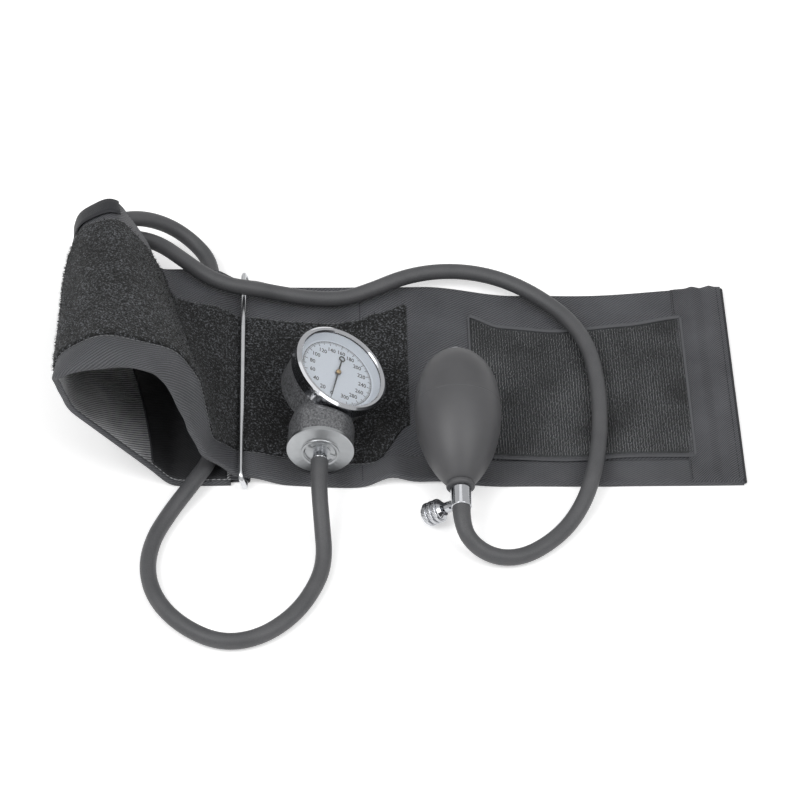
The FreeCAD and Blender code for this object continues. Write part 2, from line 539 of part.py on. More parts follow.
cap = turned([(-1.0, NOZZLE_R - 1.0), (-1.0, 9.2), (0, 9.2), (0, DISC_R - 0.5), (0.5, DISC_R), (2.2, DISC_R),
              (2.5, DISC_R - 0.3), (2.5, 15.0), (5.6, 15.0), (5.6, 13.4), (2.5, 13.4), (2.5, NOZZLE_R - 1.0)])
cap = cap.fuse(ring(10.5, 9.2, -1.6, 0)).cut(ring(8.4, 5.6, -3, -0.4).cut(
    box(-1.2, 1.2, -12, 12, -4, 4)).cut(box(-12, 12, -1.2, 1.2, -4, 4)))
save("base_cap", placed(cap.removeSplitter(), BASE_FRAME))
save("base_cap_seal", placed(ring(16.1, 15.05, 2.6, 4.6), BASE_FRAME))
save("gauge_nozzle", placed(turned([(NOZZLE_END, 1.4), (NOZZLE_END, 3.2), (NOZZLE_END + 0.4, 3.6),
                                    (-5.6, 3.6), (-5.6, NOZZLE_R), (-1.0, NOZZLE_R),
                                    (-1.0, NOZZLE_R - 1.0), (4.4, NOZZLE_R - 1.0), (4.4, 1.4)]),
                            BASE_FRAME))

save("bezel", head(turned([(12.2, RIM_R + 0.05), (12.2, 27.5), (17.4, 27.5), (17.9, BEZEL_R),
                           (20.2, BEZEL_R), (BEZEL_TOP, 27.0), (BEZEL_TOP - 0.2, 25.6), (20.3, 25.0),
                           (20.2, 25.0), (20.2, RIM_R + 0.05)])))
save("dial_ring", head(turned([(HEAD_RIM, 23.0), (HEAD_RIM, 26.2), (18.3, 26.2), (18.3, 25.4)])))
save("lens_gasket", head(ring(26.2, 25.4, 18.3, 18.8)))
save("lens", head(rod(LENS_R, (0, 0, 18.8), (0, 0, 1), 1.4)))
save("dial", head(ring(CAVITY_R - 0.1, 1.2, 14.0, 14.5)))

# Movement: plates, pillars, bearings and screws stay put.
SECTOR_PIVOT = (0, -SECTOR_REACH)
PIVOT_R = 0.5
HOLE_R = PIVOT_R + RUN_GAP
PILLARS = [(8, 15), (-8, 15), (-8, -18.2), (8, -18.2)]
POST = (ROCKER_X - ROCKER_ARM, 0)
PLATE_LOW, PLATE_TOP = 12.2, 13.0


def pierced(plate, centres, radius):
    for x, y in centres:
        plate = plate.cut(rod(radius, (x, y, -20), (0, 0, 1), 60))
    return plate


base_plate = pierced(rod(CAVITY_R - 0.1, (0, 0, LEDGE), (0, 0, 1), 1.0), [(0, 0), SECTOR_PIVOT], HOLE_R)
BASE_SCREWS = [(23.0 * math.cos(a), 23.0 * math.sin(a)) for a in map(math.radians, (20, 140, 230))]
base_plate = pierced(pierced(base_plate, [POST], 2.4), BASE_SCREWS, 0.5)
save("movement_base_plate", head(base_plate))
top_plate = box(-10.4, 10.4, -20.0, 17.4, PLATE_LOW, PLATE_TOP)
top_plate = pierced(pierced(top_plate, [(0, 0), SECTOR_PIVOT], HOLE_R), PILLARS, 0.8)
save("movement_top_plate", head(top_plate))
pillars = [ring(1.8, 0.8, LEDGE + 1.0, PLATE_LOW, centre) for centre in PILLARS]
save("movement_pillars", head(Part.makeCompound(pillars)))
save("movement_screws", head(Part.makeCompound(
    [rod(0.8, (x, y, PLATE_LOW - 3), (0, 0, 1), 3 + PLATE_TOP - PLATE_LOW).fuse(
        rod(1.5, (x, y, PLATE_TOP), (0, 0, 1), 0.7).cut(box(x - 2, x + 2, y - 0.2, y + 0.2, PLATE_TOP + 0.3, 20)))
     for x, y in PILLARS])))
bearings = []
for y in (-22.4, 2.2):
    block = box(ROCKER_X - 1.5, ROCKER_X + 1.5, y, y + 1.0, LEDGE + 1.0, 7.6)
    bearings.append(block.cut(rod(0.6 + RUN_GAP, (ROCKER_X, y - 1, ROCKER_Z), (0, 1, 0), 3)))
save("rocker_bearings", head(Part.makeCompound(bearings)))


def strip(points, half, z0, z1):
    """Flat spiral or curved strip: a line of points thickened in its plane and extruded."""
    outer, inner = [], []
    for i, (x, y) in enumerate(points):
        (ax, ay), (bx, by) = points[max(i - 1, 0)], points[min(i + 1, len(points) - 1)]
        length = math.hypot(bx - ax, by - ay)
        nx, ny = (by - ay) / length, -(bx - ax) / length
        outer.append(V(x + nx * half, y + ny * half, z0))
        inner.append(V(x - nx * half, y - ny * half, z0))
    curves = []
    for side in (outer, inner[::-1]):
        curve = Part.BSplineCurve()
        curve.interpolate(side)
        curves.append(curve.toShape())
    ends = [Part.makeLine(outer[-1], inner[-1]), Part.makeLine(inner[0], outer[0])]
    face = Part.Face(Part.Wire([curves[0], ends[0], curves[1], ends[1]]))
    return face.extrude(V(0, 0, z1 - z0))


coil = []
for i in range(31):
    angle = math.radians(30 * i)
    radius = 1.7 + 4.0 * i / 30
    coil.append((radius * math.cos(angle), radius * math.sin(angle)))
save("hairspring", head(strip(coil, 0.12, 11.2, 11.7).fuse(
    rod(0.45, (coil[-1][0], coil[-1][1], 11.0), (0, 0, 1), PLATE_LOW - 11.0)).removeSplitter()))

capsule = turned([(-4.9, 0), (-4.9, 3.0), (-4.3, 4.6), (-4.6, 6.8), (-3.9, 9.0), (-4.0, 11.0), (-2.6, 13.6),
                  (-2.0, 14.2), (-1.4, 13.6), (0, 11.0), (-0.1, 9.0), (0.6, 6.8), (0.3, 4.6), (0.9, 3.0),
                  (0.9, 1.3), (-1.9, 1.3), (-1.9, 0)])
capsule = capsule.fuse(rod(2.2, (0, 0, -6), (0, 0, 1), 1.2)).removeSplitter()
capsule.translate(V(POST[0], POST[1], 0))
save("diaphragm_capsule", head(capsule))
POST_TOP = ROCKER_Z - 0.4 - 0.05
post = turned([(-1.6, 0), (-1.6, 1.3 - RUN_GAP), (3.6, 1.3 - RUN_GAP), (4.4, 0.6), (POST_TOP, 0.6), (POST_TOP, 0)])
post.translate(V(POST[0], POST[1], 0))
save("capsule_post", head(post))

# Rocker shaft: one arm over the capsule's post, one arm beside the sector's tail.
tail_y = -SECTOR_REACH - TAIL
rocker = rod(0.6, (ROCKER_X, -22.5, ROCKER_Z), (0, 1, 0), 25.8)
rocker = rocker.fuse(box(POST[0] - 1.0, ROCKER_X, -0.8, 0.8, ROCKER_Z - 0.4, ROCKER_Z + 0.4))
rocker = rocker.fuse(box(ROCKER_X + 0.1, ROCKER_X + 1.0, tail_y - 0.5, tail_y + 0.5, ROCKER_Z, ROCKER_Z + 5.2))
save("rocker_shaft", head(rocker.removeSplitter()))


def gear_outline(teeth, spread, centre, start, backlash):
    """Tooth outline of a gear or sector: involute flanks of 20 degrees, from one side to the
    other. spread is how many teeth are cut, start the direction of the first, in radians."""
    pitch = MODULE * teeth / 2
    base = pitch * math.cos(math.radians(20))
    tip, root = pitch + 0.8 * MODULE, pitch - 1.15 * MODULE
    half = (math.pi / 2 - backlash / MODULE) / teeth
    involute = lambda r: math.sqrt(max((r / base) ** 2 - 1, 0)) - math.acos(min(base / r, 1))
    radii = [max(root, base) + (tip - max(root, base)) * k / 3 for k in range(4)]
    flank = [(r, half + involute(pitch) - involute(r)) for r in radii]
    if root < base:
        flank.insert(0, (root, flank[0][1]))
    points = []
    for i in range(spread):
        middle = start + 2 * math.pi * i / teeth
        for r, a in [(r, -a) for r, a in flank] + [(r, a) for r, a in reversed(flank)]:
            points.append((centre[0] + r * math.cos(middle + a), centre[1] + r * math.sin(middle + a)))
    return points


def plate(points, z0, z1):
    corners = [V(x, y, z0) for x, y in points]
    return Part.Face(Part.makePolygon(corners + corners[:1])).extrude(V(0, 0, z1 - z0))


BACKLASH = 0.07
GEAR_LOW, GEAR_TOP = 9.9, 10.6
# At rest the sector stands half its sweep to the right of the line of centres and its tail as far
# to the left, below its pivot.
tooth = 2 * math.pi / SECTOR_TEETH
CUT_TEETH = 13
# One tooth of the sector points at the pinion at rest, so the pinion shows a gap there.
first_tooth = math.pi / 2 - (CUT_TEETH - 2) * tooth
outline = gear_outline(SECTOR_TEETH, CUT_TEETH, SECTOR_PIVOT, first_tooth, BACKLASH)
angles = (first_tooth + (CUT_TEETH - 0.5) * tooth, first_tooth - 0.5 * tooth)
pitch_sector = MODULE * SECTOR_TEETH / 2


def polar(r, a):
    return (SECTOR_PIVOT[0] + r * math.cos(a), SECTOR_PIVOT[1] + r * math.sin(a))


root_sector = pitch_sector - 1.15 * MODULE
sector = plate(outline + [polar(root_sector, angles[0]), polar(1.8, angles[0]), polar(1.8, angles[1]),
                          polar(root_sector, angles[1])], GEAR_LOW, GEAR_TOP)
middle = (angles[0] + angles[1]) / 2
spread = (angles[0] - angles[1]) / 2
hole_points = [polar(root_sector - 2.0, middle + spread * k / 5) for k in (-3, -1, 1, 3)]
hole_points += [polar(5.0, middle + spread * k / 5) for k in (2, -2)]
sector = sector.cut(plate(hole_points, GEAR_LOW - 1, GEAR_TOP + 1))
tail_angle = -math.pi / 2 - math.radians(SECTOR_SWEEP / 2)
tail_end = polar(TAIL, tail_angle)
tail_bar = box(0, TAIL, -0.45, 0.45, GEAR_LOW, GEAR_TOP)
tail_bar.rotate(V(0, 0, 0), V(0, 0, 1), math.degrees(tail_angle))
tail_bar.translate(V(SECTOR_PIVOT[0], SECTOR_PIVOT[1], 0))
sector = sector.fuse(tail_bar).fuse(rod(0.5, (tail_end[0], tail_end[1], GEAR_LOW - 0.6), (0, 0, 1), 1.8))
sector = sector.fuse(rod(1.7, (SECTOR_PIVOT[0], SECTOR_PIVOT[1], 8.6), (0, 0, 1), 2.4))
sector = sector.fuse(rod(PIVOT_R, (SECTOR_PIVOT[0], SECTOR_PIVOT[1], LEDGE + 0.1), (0, 0, 1), PLATE_TOP - LEDGE - 0.2))
save("sector_gear", head(sector.removeSplitter()))

# The pinion shows a tooth gap to the sector at rest: its first tooth stands half a pitch off.
pinion_points = gear_outline(PINION_TEETH, PINION_TEETH, (0, 0), -math.pi / 2 + math.pi / PINION_TEETH, BACKLASH)
arbor = plate(pinion_points, GEAR_LOW - 0.3, GEAR_TOP + 0.3)
arbor = arbor.fuse(rod(PIVOT_R, (0, 0, LEDGE + 0.1), (0, 0, 1), 16.9 - LEDGE - 0.1))
arbor = arbor.fuse(rod(1.3, (0, 0, 11.0), (0, 0, 1), 0.9))
save("pinion_arbor", head(arbor.removeSplitter()))

# Pointer and hub.
needle_dir = math.radians(90 - POINTER_ZERO)
POINTER_LOW, POINTER_TOP = 15.6, 15.95
TIP, TAIL_RING = 20.6, 11.0
needle = plate([(-TAIL_RING + 1.4, -0.35), (0, -0.5), (TIP - 3, -0.22), (TIP, -0.06), (TIP, 0.06), (TIP - 3, 0.22),
                (0, 0.5), (-TAIL_RING + 1.4, 0.35)], POINTER_LOW, POINTER_TOP)
needle = needle.fuse(rod(1.7, (0, 0, POINTER_LOW), (0, 0, 1), POINTER_TOP - POINTER_LOW))
needle = needle.fuse(ring(1.9, 1.2, POINTER_LOW, POINTER_TOP, (-TAIL_RING, 0)))
needle = needle.cut(rod(PIVOT_R, (0, 0, 10), (0, 0, 1), 10))
needle.rotate(V(0, 0, 0), V(0, 0, 1), math.degrees(needle_dir))
save("pointer", head(needle.removeSplitter()))
save("hub_cap", head(turned([(POINTER_TOP, PIVOT_R), (POINTER_TOP, 1.5), (16.7, 1.5), (17.1, 1.0), (17.1, 0),
                             (16.9, 0), (16.9, PIVOT_R)])))

# Small screws that hold the movement to the ledge of the case.
save("base_plate_screws", head(Part.makeCompound(
    [rod(0.5, (x, y, LEDGE), (0, 0, 1), 1.0).fuse(rod(0.95, (x, y, LEDGE + 1.0), (0, 0, 1), 0.6))
     for x, y in BASE_SCREWS])))

# ---- hoses, now that both of their ends are known -------------------------------------------
valve_face = BULB_FRAME.multVec(V(0, 0, TUBE_END))
valve_lead = BULB_FRAME.multVec(V(0, 0, TUBE_END + 12.0))
nozzle_face = BASE_FRAME.multVec(V(0, 0, NOZZLE_END))
nozzle_lead = BASE_FRAME.multVec(V(0, 0, NOZZLE_END - 13.5))
BULB_HOSE_ROUTE += [tuple(valve_lead), tuple(valve_face)]
GAUGE_HOSE_ROUTE += [tuple(nozzle_lead), tuple(nozzle_face)]
hose("bulb_hose", BULB_HOSE_ROUTE)
hose("gauge_hose", GAUGE_HOSE_ROUTE)
port("inflation_port", BULB_HOSE_ROUTE[0], BULB_HOSE_ROUTE[1])
port("gauge_port", GAUGE_HOSE_ROUTE[0], GAUGE_HOSE_ROUTE[1])

print("route ends", [round(c, 2) for c in valve_lead], [round(c, 2) for c in valve_face],
      [round(c, 2) for c in nozzle_lead], [round(c, 2) for c in nozzle_face])
for label, point, frame in (("sector pivot", V(SECTOR_PIVOT[0], SECTOR_PIVOT[1], GEAR_LOW), HEAD_FRAME),
                            ("dial centre", V(0, 0, GEAR_LOW), HEAD_FRAME),
                            ("rocker", V(ROCKER_X, 0, ROCKER_Z), HEAD_FRAME),
                            ("boss", V(0, 0, 0), BOSS_FRAME)):
    where = frame.multVec(point)
    axes = [[round(c, 6) for c in frame.Rotation.multVec(a)] for a in (V(1, 0, 0), V(0, 1, 0), V(0, 0, 1))]
    print(label, [round(c, 5) for c in where], "axes", axes)
for name, count, volume in report:
    print("%-24s %2d %10.1f" % (name, count, volume))
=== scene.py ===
import math
import bmesh
import bpy
import numpy as np
from mathutils import Matrix, Vector


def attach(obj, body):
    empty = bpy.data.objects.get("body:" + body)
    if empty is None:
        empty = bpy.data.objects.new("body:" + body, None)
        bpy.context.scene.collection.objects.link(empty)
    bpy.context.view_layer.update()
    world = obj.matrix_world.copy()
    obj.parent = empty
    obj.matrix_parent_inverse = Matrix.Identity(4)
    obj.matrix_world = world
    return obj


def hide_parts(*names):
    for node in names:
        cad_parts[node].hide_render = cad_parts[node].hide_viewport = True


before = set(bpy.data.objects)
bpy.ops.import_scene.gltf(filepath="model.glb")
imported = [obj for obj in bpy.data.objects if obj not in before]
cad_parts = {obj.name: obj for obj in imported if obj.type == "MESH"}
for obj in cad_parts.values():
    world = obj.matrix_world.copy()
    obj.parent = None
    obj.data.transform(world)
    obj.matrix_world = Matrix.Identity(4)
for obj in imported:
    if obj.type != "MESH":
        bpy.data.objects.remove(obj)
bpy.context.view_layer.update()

# ---- camera ---------------------------------------------------------------------------------
# A long lens on an 800 x 800 frame, 1.71 m from the table and 48.5 degrees above it, turned a
# little to the left of the band's width.
LENS_PIXELS, AWAY, ABOVE, ROUND = 3006.0, 1.710, math.radians(48.5), math.radians(-1.3)
aim = Vector((-0.002, -0.0128, 0.0))
back = Vector((math.sin(ROUND) * math.cos(ABOVE), -math.cos(ROUND) * math.cos(ABOVE), math.sin(ABOVE)))
right = Vector((math.cos(ROUND), math.sin(ROUND), 0.0))
up = back.cross(right)
camera = bpy.data.objects.new("camera", bpy.data.cameras.new("camera"))
camera.data.sensor_width = 36.0
camera.data.lens = LENS_PIXELS * 36.0 / 800.0
camera.data.clip_start, camera.data.clip_end = 0.05, 20.0
turn = Matrix((right, up, back)).transposed().to_4x4()
turn.translation = aim + back * AWAY
camera.matrix_world = turn
bpy.context.scene.collection.objects.link(camera)
bpy.context.scene.camera = camera


# ---- hoses ----------------------------------------------------------------------------------
# Two black rubber tubes, 9 mm outside, extruded and dusted with talc, so they look soft grey.
# Each is pushed over a barb at the valve or the gauge, and goes back into the bladder's ports.
def paint(code):
    """Linear colour of an sRGB hex value: each channel below 0.04045 divided by 12.92, above it
    raised to 2.4 after a shift and a scale."""
    channels = [int(code[i:i + 2], 16) / 255 for i in (0, 2, 4)]
    return [c / 12.92 if c <= 0.04045 else ((c + 0.055) / 1.055) ** 2.4 for c in channels] + [1.0]


def add(material, kind, inputs=(), **settings):
    """Adds one node with its settings. inputs is pairs of a socket and either a value or a
    (node, output) pair to link."""
    made = material.node_tree.nodes.new(kind)
    for key, value in settings.items():
        setattr(made, key, value)
    for socket, value in dict(inputs).items():
        if isinstance(value, tuple) and hasattr(value[0], "outputs"):
            material.node_tree.links.new(value[0].outputs[value[1]], made.inputs[socket])
        else:
            made.inputs[socket].default_value = value
    return made


def finish_of(name, surface, **sockets):
    """New material whose surface shader has the given values or links on its own sockets."""
    material = bpy.data.materials.new(name)
    material.use_nodes = True
    material.node_tree.nodes.clear()
    links = surface(material)
    shader = add(material, "ShaderNodeBsdfPrincipled", {k.replace("_", " "): v for k, v in
                                                         {**sockets, **links}.items()})
    add(material, "ShaderNodeOutputMaterial", {"Surface": (shader, "BSDF")})
    return material


def rubber_surface(dark, light, grain_mm, bump):
    """Talc-dusted rubber: two greys mixed by soft blotches and fine grain, with a fine bump."""
    def surface(m):
        place = add(m, "ShaderNodeTexCoord")
        blotch = add(m, "ShaderNodeTexNoise", {"Vector": (place, "Object"), "Scale": 60.0, "Detail": 4.0})
        grain = add(m, "ShaderNodeTexNoise", {"Vector": (place, "Object"), "Scale": 1000.0 / grain_mm,
                                              "Detail": 2.0})
        both = add(m, "ShaderNodeMath", {0: (blotch, "Fac"), 1: (grain, "Fac")}, operation="ADD")
        ramp = add(m, "ShaderNodeMapRange", {"Value": (both, "Value"), "From Min": 0.7, "From Max": 1.3})
        colour = add(m, "ShaderNodeMix", {"Factor": (ramp, "Result"), 6: paint(dark), 7: paint(light)},
                     data_type="RGBA")
        relief = add(m, "ShaderNodeBump", {"Height": (grain, "Fac"), "Strength": bump, "Distance": 0.0002})
        return {"Base_Color": (colour, 2), "Normal": (relief, "Normal")}
    return surface


hose_rubber = finish_of("extruded_hose_rubber", rubber_surface("4a4b4d", "59595b", 0.5, 0.12),
                        Roughness=0.52, IOR=1.5)
HOSE = 0.0045
BULB_ROUTE = [
    (-178.0, 89.6, 27.0), (-166.3, 93.2, 27.0), (-153.0, 93.4, 27.2), (-139.5, 87.6, 27.4),
    (-125.5, 74.2, 27.4), (-112.0, 61.2, 27.0), (-99.0, 56.4, 24.2), (-86.0, 57.8, 20.0),
    (-69.0, 60.6, 11.8), (-51.0, 58.2, 9.8), (-33.0, 57.6, 9.8), (-16.0, 64.0, 10.8),
    (0.5, 71.8, 12.0), (17.0, 76.2, 12.0), (34.0, 76.6, 12.0), (51.0, 72.8, 12.0),
    (67.5, 65.4, 11.2), (83.5, 53.6, 10.0), (98.0, 37.0, 10.0), (107.0, 16.0, 10.0),
    (110.0, -8.0, 10.0), (110.2, -32.0, 10.0), (108.0, -56.0, 10.4), (104.2, -77.5, 12.4),
    (98.3, -95.0, 8.8), (89.0, -110.0, 4.9), (76.5, -123.2, 4.8), (62.0, -132.2, 4.9),
    (47.6, -133.6, 6.4), (35.8, -128.4, 10.4), (29.2, -120.7, 17.63), (29.2, -108.85, 19.51)]
GAUGE_ROUTE = [
    (-174.6, 87.0, 44.0), (-162.5, 94.6, 41.4), (-148.5, 102.6, 34.0), (-133.5, 106.6, 22.5),
    (-120.2, 101.6, 13.2), (-111.2, 90.0, 9.2), (-109.2, 69.0, 8.9), (-106.8, 36.0, 8.9),
    (-105.8, -22.0, 9.0), (-106.6, -60.0, 9.2), (-117.5, -78.8, 9.0), (-131.0, -98.0, 4.9),
    (-139.6, -117.0, 4.8), (-141.8, -138.0, 4.8), (-135.5, -158.5, 4.8), (-121.0, -175.5, 4.8),
    (-101.0, -186.6, 4.8), (-80.0, -183.6, 4.8), (-61.0, -168.4, 4.8), (-49.0, -147.0, 4.8),
    (-45.4, -130.0, 5.4), (-46.6, -114.0, 11.6), (-48.3, -91.17, 23.45), (-47.59, -77.69, 23.45)]
BODY = "cuff_set"


def hose(name, route, node, swell):
    """Smooth tube along one NURBS line through the route's control points. swell is how much wider than the
    hose its last place is, where it is stretched over its barb."""
    curve = bpy.data.curves.new(name, "CURVE")
    curve.dimensions = "3D"
    line = curve.splines.new("NURBS")
    line.points.add(len(route) - 1)
    for point, (x, y, z) in zip(line.points, route):
        point.co = (x / 1000, y / 1000, z / 1000, 1.0)
    line.points[-1].radius, line.points[-2].radius = swell, 1.0
    line.order_u = 3
    line.use_endpoint_u = True
    line.resolution_u = 10
    curve.bevel_depth = HOSE
    curve.bevel_resolution = 7
    curve.use_fill_caps = True
    piece = bpy.data.objects.new(name, curve)
    bpy.context.scene.collection.objects.link(piece)
    piece.data.materials.append(hose_rubber)
    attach(piece, BODY)
    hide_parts(node)
    return piece


hose("bulb_hose_tube", BULB_ROUTE, "bulb_hose", 1.12)
hose("gauge_hose_tube", GAUGE_ROUTE, "gauge_hose", 1.12)

# ---- cuff, the shape of the band -------------------------------------------------------------
# One long band of nylon twill, an outer cloth and a lining sewn together round the rims. It lies
# flat on the right, climbs over the ring's lower bar, and comes round in a loop that stands up on
# its own stiffness and ends at the ring's hem.
RING_X, RIM = -93.0, 74.0
FLAT, HUMP, LOOP = 240.5, 45.0, 292.5      # the band's length: flat, over the bar, round the loop
BAND_END = FLAT + HUMP + LOOP
MIDDLE, OVER_BAR = 1.7, 7.5                # height of the band's middle on the table, on the bar
FRONT_CORNERS = [(-24, MIDDLE, 14), (-8, OVER_BAR, 12), (3, OVER_BAR, 7), (14.8, 34, 40),
                 (19.5, 78, 22), (30, 99, 18), (68, 112, 20), (93.5, 96, 14), (89.5, 60, 12),
                 (46, 13, 16), (37, MIDDLE, 8)]
BACK_CORNERS = [(-24, MIDDLE, 14), (-8, OVER_BAR, 12), (3, 8.0, 7), (14, 16.8, 9),
                (49, 17.2, 5), (54.5, 40, 20), (70.5, 72.5, 5), (89, 61, 9), (101.5, 13, 8),
                (97, MIDDLE, 4), (60, MIDDLE + 0.05, 8)]
FRONT_LEAN, BACK_LEAN = 0.11, 0.09         # how far the rims lean back for each mm of height
# The front hem hangs over the loop's opening: its share of the width, how far it is stretched clear
# of the rim line there, and the (right, back, up) of its edge, all by mm from the free end.
HEM = 0.105
HEM_HANGS = [(284, 0), (318, 1), (452, 1), (474, 0)]
HEM_RIGHT = [(286, 0), (312, -4.5), (332, -7.5), (352, -10), (370, -8), (392, -2), (412, 0), (432, -3),
             (466, 0)]
HEM_BACK = [(286, 0), (312, -7.6), (332, -10), (352, -11), (370, -12), (392, -12.5), (412, -11.3), (432, -11),
            (452, -5), (474, 0)]
HEM_UP = [(330, 0), (352, -2.6), (392, -4.5), (412, -10.4), (432, -6), (452, -1), (474, 0)]


def middle_line(corners, soften):
    """Rim line as (left of the ring, height) every half millimetre: straight legs, each corner
    cut by a tangent arc of its radius, then averaged with a bell curve soften mm wide."""
    nodes = np.array([(-280.5, MIDDLE)] + [c[:2] for c in corners] + [(4.2, MIDDLE)], float)
    line = [nodes[:1]]
    for before, corner, after, (_, _, radius) in zip(nodes, nodes[1:], nodes[2:], corners):
        a, b = before - corner, after - corner
        la, lb = np.hypot(*a), np.hypot(*b)
        a, b = a / la, b / lb
        bend = math.pi - math.acos(np.clip(a @ b, -1, 1))
        if bend < 1e-3:
            continue
        reach = min(radius * math.tan(bend / 2), 0.46 * la, 0.46 * lb)
        r = reach / math.tan(bend / 2)
        centre = corner + (a + b) / np.hypot(*(a + b)) * r / math.cos(bend / 2)
        p, q = corner + a * reach - centre, corner + b * reach - centre
        t = np.linspace(0, 1, 24)[:, None]
        line.append(centre + (np.sin((1 - t) * bend) * p + np.sin(t * bend) * q) / math.sin(bend))
    line = np.vstack(line + [nodes[-1:]])
    run = np.r_[0, np.cumsum(np.hypot(*np.diff(line, axis=0).T))]
    s = np.arange(0, run[-1], 0.5)
    fine = np.column_stack([np.interp(s, run, line[:, k]) for k in (0, 1)])
    pad = int(soften * 6)
    ahead = fine[:1] + (fine[:1] - fine[1:2]) * np.arange(pad, 0, -1)[:, None]
    behind = fine[-1:] + (fine[-1:] - fine[-2:-1]) * np.arange(1, pad + 1)[:, None]
    bell = np.exp(-0.5 * (np.arange(-pad, pad + 1) * 0.5 / soften) ** 2)
    wide = np.vstack([ahead, fine, behind])
    return np.column_stack([np.convolve(wide[:, k], bell / bell.sum(), "valid") for k in (0, 1)])


def eased(x, stops):
    """Value at x between (place, value) stops, easing out of one and into the next by the cubic
    3t^2 - 2t^3 of the share t of the way."""
    xs, ys = np.array(stops, float).T
    x = np.clip(x, xs[0], xs[-1])
    k = np.clip(np.searchsorted(xs, x, "right") - 1, 0, len(xs) - 2)
    t = (x - xs[k]) / (xs[k + 1] - xs[k])
    return ys[k] + (ys[k + 1] - ys[k]) * t * t * (3 - 2 * t)


FRONT_LINE, BACK_LINE = middle_line(FRONT_CORNERS, 3.0), middle_line(BACK_CORNERS, 3.0)
# The rims swing a little as the band lies: (mm from the free end, across).
FRONT_SWING = [(0, -80.3), (72, -79.6), (130, -78.4), (180, -75.0), (215, -77.4), (270, -74.0), (600, -74.0)]
BACK_SWING = [(0, 67.8), (80, 63.0), (120, 64.0), (175, 72.5), (215, 73.0), (270, 74.0), (600, 74.0)]


def rim(line, u):
    """Place and outward normal of a rim line u mm from the band's free end. Past the bar the
    line's own length is shared out evenly over the loop."""
    total = (len(line) - 1) * 0.5
    lead = FLAT + HUMP
    s = np.where(u <= lead, u, lead + (u - lead) * (total - lead) / LOOP)
    grid = np.arange(len(line)) * 0.5
    along = np.gradient(line, axis=0)
    along /= np.hypot(*along.T)[:, None]
    left, height, al, ah = (np.interp(s, grid, c) for c in (*line.T, *along.T))
    size = np.hypot(al, ah)
    return left, height, -ah / size, al / size


def band(u, v, lift=0.0):
    """Place on the band in mm: u from its free end, v from 0 at the front rim to 1 at the rear
    rim, lift above its middle layer. Each place is on the straight line between the two rims,
    moved along their normals by lift, with the hem hanging over at the front of the loop and two
    raised ripples at the front rim."""
    u, v, lift = np.broadcast_arrays(np.asarray(u, float), np.asarray(v, float), np.asarray(lift, float))
    ends = []
    for line, swing, lean in ((FRONT_LINE, FRONT_SWING, FRONT_LEAN), (BACK_LINE, BACK_SWING, BACK_LEAN)):
        left, height, nl, nh = rim(line, u)
        left, height = left + nl * lift, height + nh * lift
        ends.append(np.stack([RING_X - left, eased(u, swing) + lean * (height - MIDDLE), height], -1))
    hangs = eased(u, HEM_HANGS)
    share = v * (1 - hangs) + hangs * np.maximum(v - HEM, 0) / (1 - HEM)
    place = ends[0] * (1 - share)[..., None] + ends[1] * share[..., None]
    over = np.clip(1 - v / HEM, 0, 1.1)
    edge = np.stack([eased(u, HEM_RIGHT), eased(u, HEM_BACK), eased(u, HEM_UP)], -1)
    place = place + edge * np.stack([over, over, over ** 1.5], -1)
    raised = 6.5 * np.exp(-((u - 196) / 10.0) ** 2) * np.clip(1 - v / 0.3, 0, 1) ** 2
    raised = raised + 2.0 * np.exp(-((u - 168) / 14.0) ** 2) * np.clip(1 - v / 0.2, 0, 1) ** 2
    place[..., 2] += raised
    return place


# ---- cuff, its cloth -------------------------------------------------------------------------
# Charcoal nylon twill, woven with a steep diagonal, a little shiny on each thread. The outer
# cloth is turned over both rims; the lining is the same cloth laid with its ribs along the band.
def mesh_piece(name, points, faces, material, flat=None, smooth=True):
    """Piece at the origin from points in mm and lists of corner numbers. flat gives each point's
    place on the uncut cloth in metres, kept as a UV map."""
    mesh = bpy.data.meshes.new(name)
    mesh.from_pydata((np.asarray(points, float) / 1000).tolist(), [], faces)
    mesh.polygons.foreach_set("use_smooth", np.full(len(mesh.polygons), smooth))
    if flat is not None:
        corners = np.empty(len(mesh.loops), int)
        mesh.loops.foreach_get("vertex_index", corners)
        mesh.uv_layers.new(name="flat").data.foreach_set("uv", np.asarray(flat)[corners].ravel())
    mesh.validate()
    piece = bpy.data.objects.new(name, mesh)
    bpy.context.scene.collection.objects.link(piece)
    piece.data.materials.append(material)
    return piece


def cells(rows, columns, wrap_rows=False, wrap_columns=False):
    """Corner numbers of every cell of a grid of points, wrapped where a side closes on itself."""
    i, j = np.meshgrid(np.arange(rows - (not wrap_rows)), np.arange(columns - (not wrap_columns)),
                       indexing="ij")
    k, l = (i + 1) % rows, (j + 1) % columns
    quads = np.stack([i * columns + j, k * columns + j, k * columns + l, i * columns + l], -1)
    return quads.reshape(-1, 4).tolist()


def layer(name, us, section, material):
    """Closed strip of the band: a closed outline of (v, lift) corners, listed across the top from
    the rear to the front, is carried along the places us."""
    v, lift = np.array(section, float).T
    points = band(np.asarray(us)[:, None], v[None, :], lift[None, :])
    run = np.r_[0, np.cumsum(np.hypot(np.diff(v) * 2 * RIM, np.diff(lift)))]
    flat = np.stack(np.broadcast_arrays(np.asarray(us)[:, None] / 1000, run[None, :] / 1000), -1)
    n = len(v)
    faces = cells(len(us), n, wrap_columns=True)
    faces += [list(range(n)), [(len(us) - 1) * n + k for k in range(n)][::-1]]
    return mesh_piece(name, points.reshape(-1, 3), faces, material, flat.reshape(-1, 2))


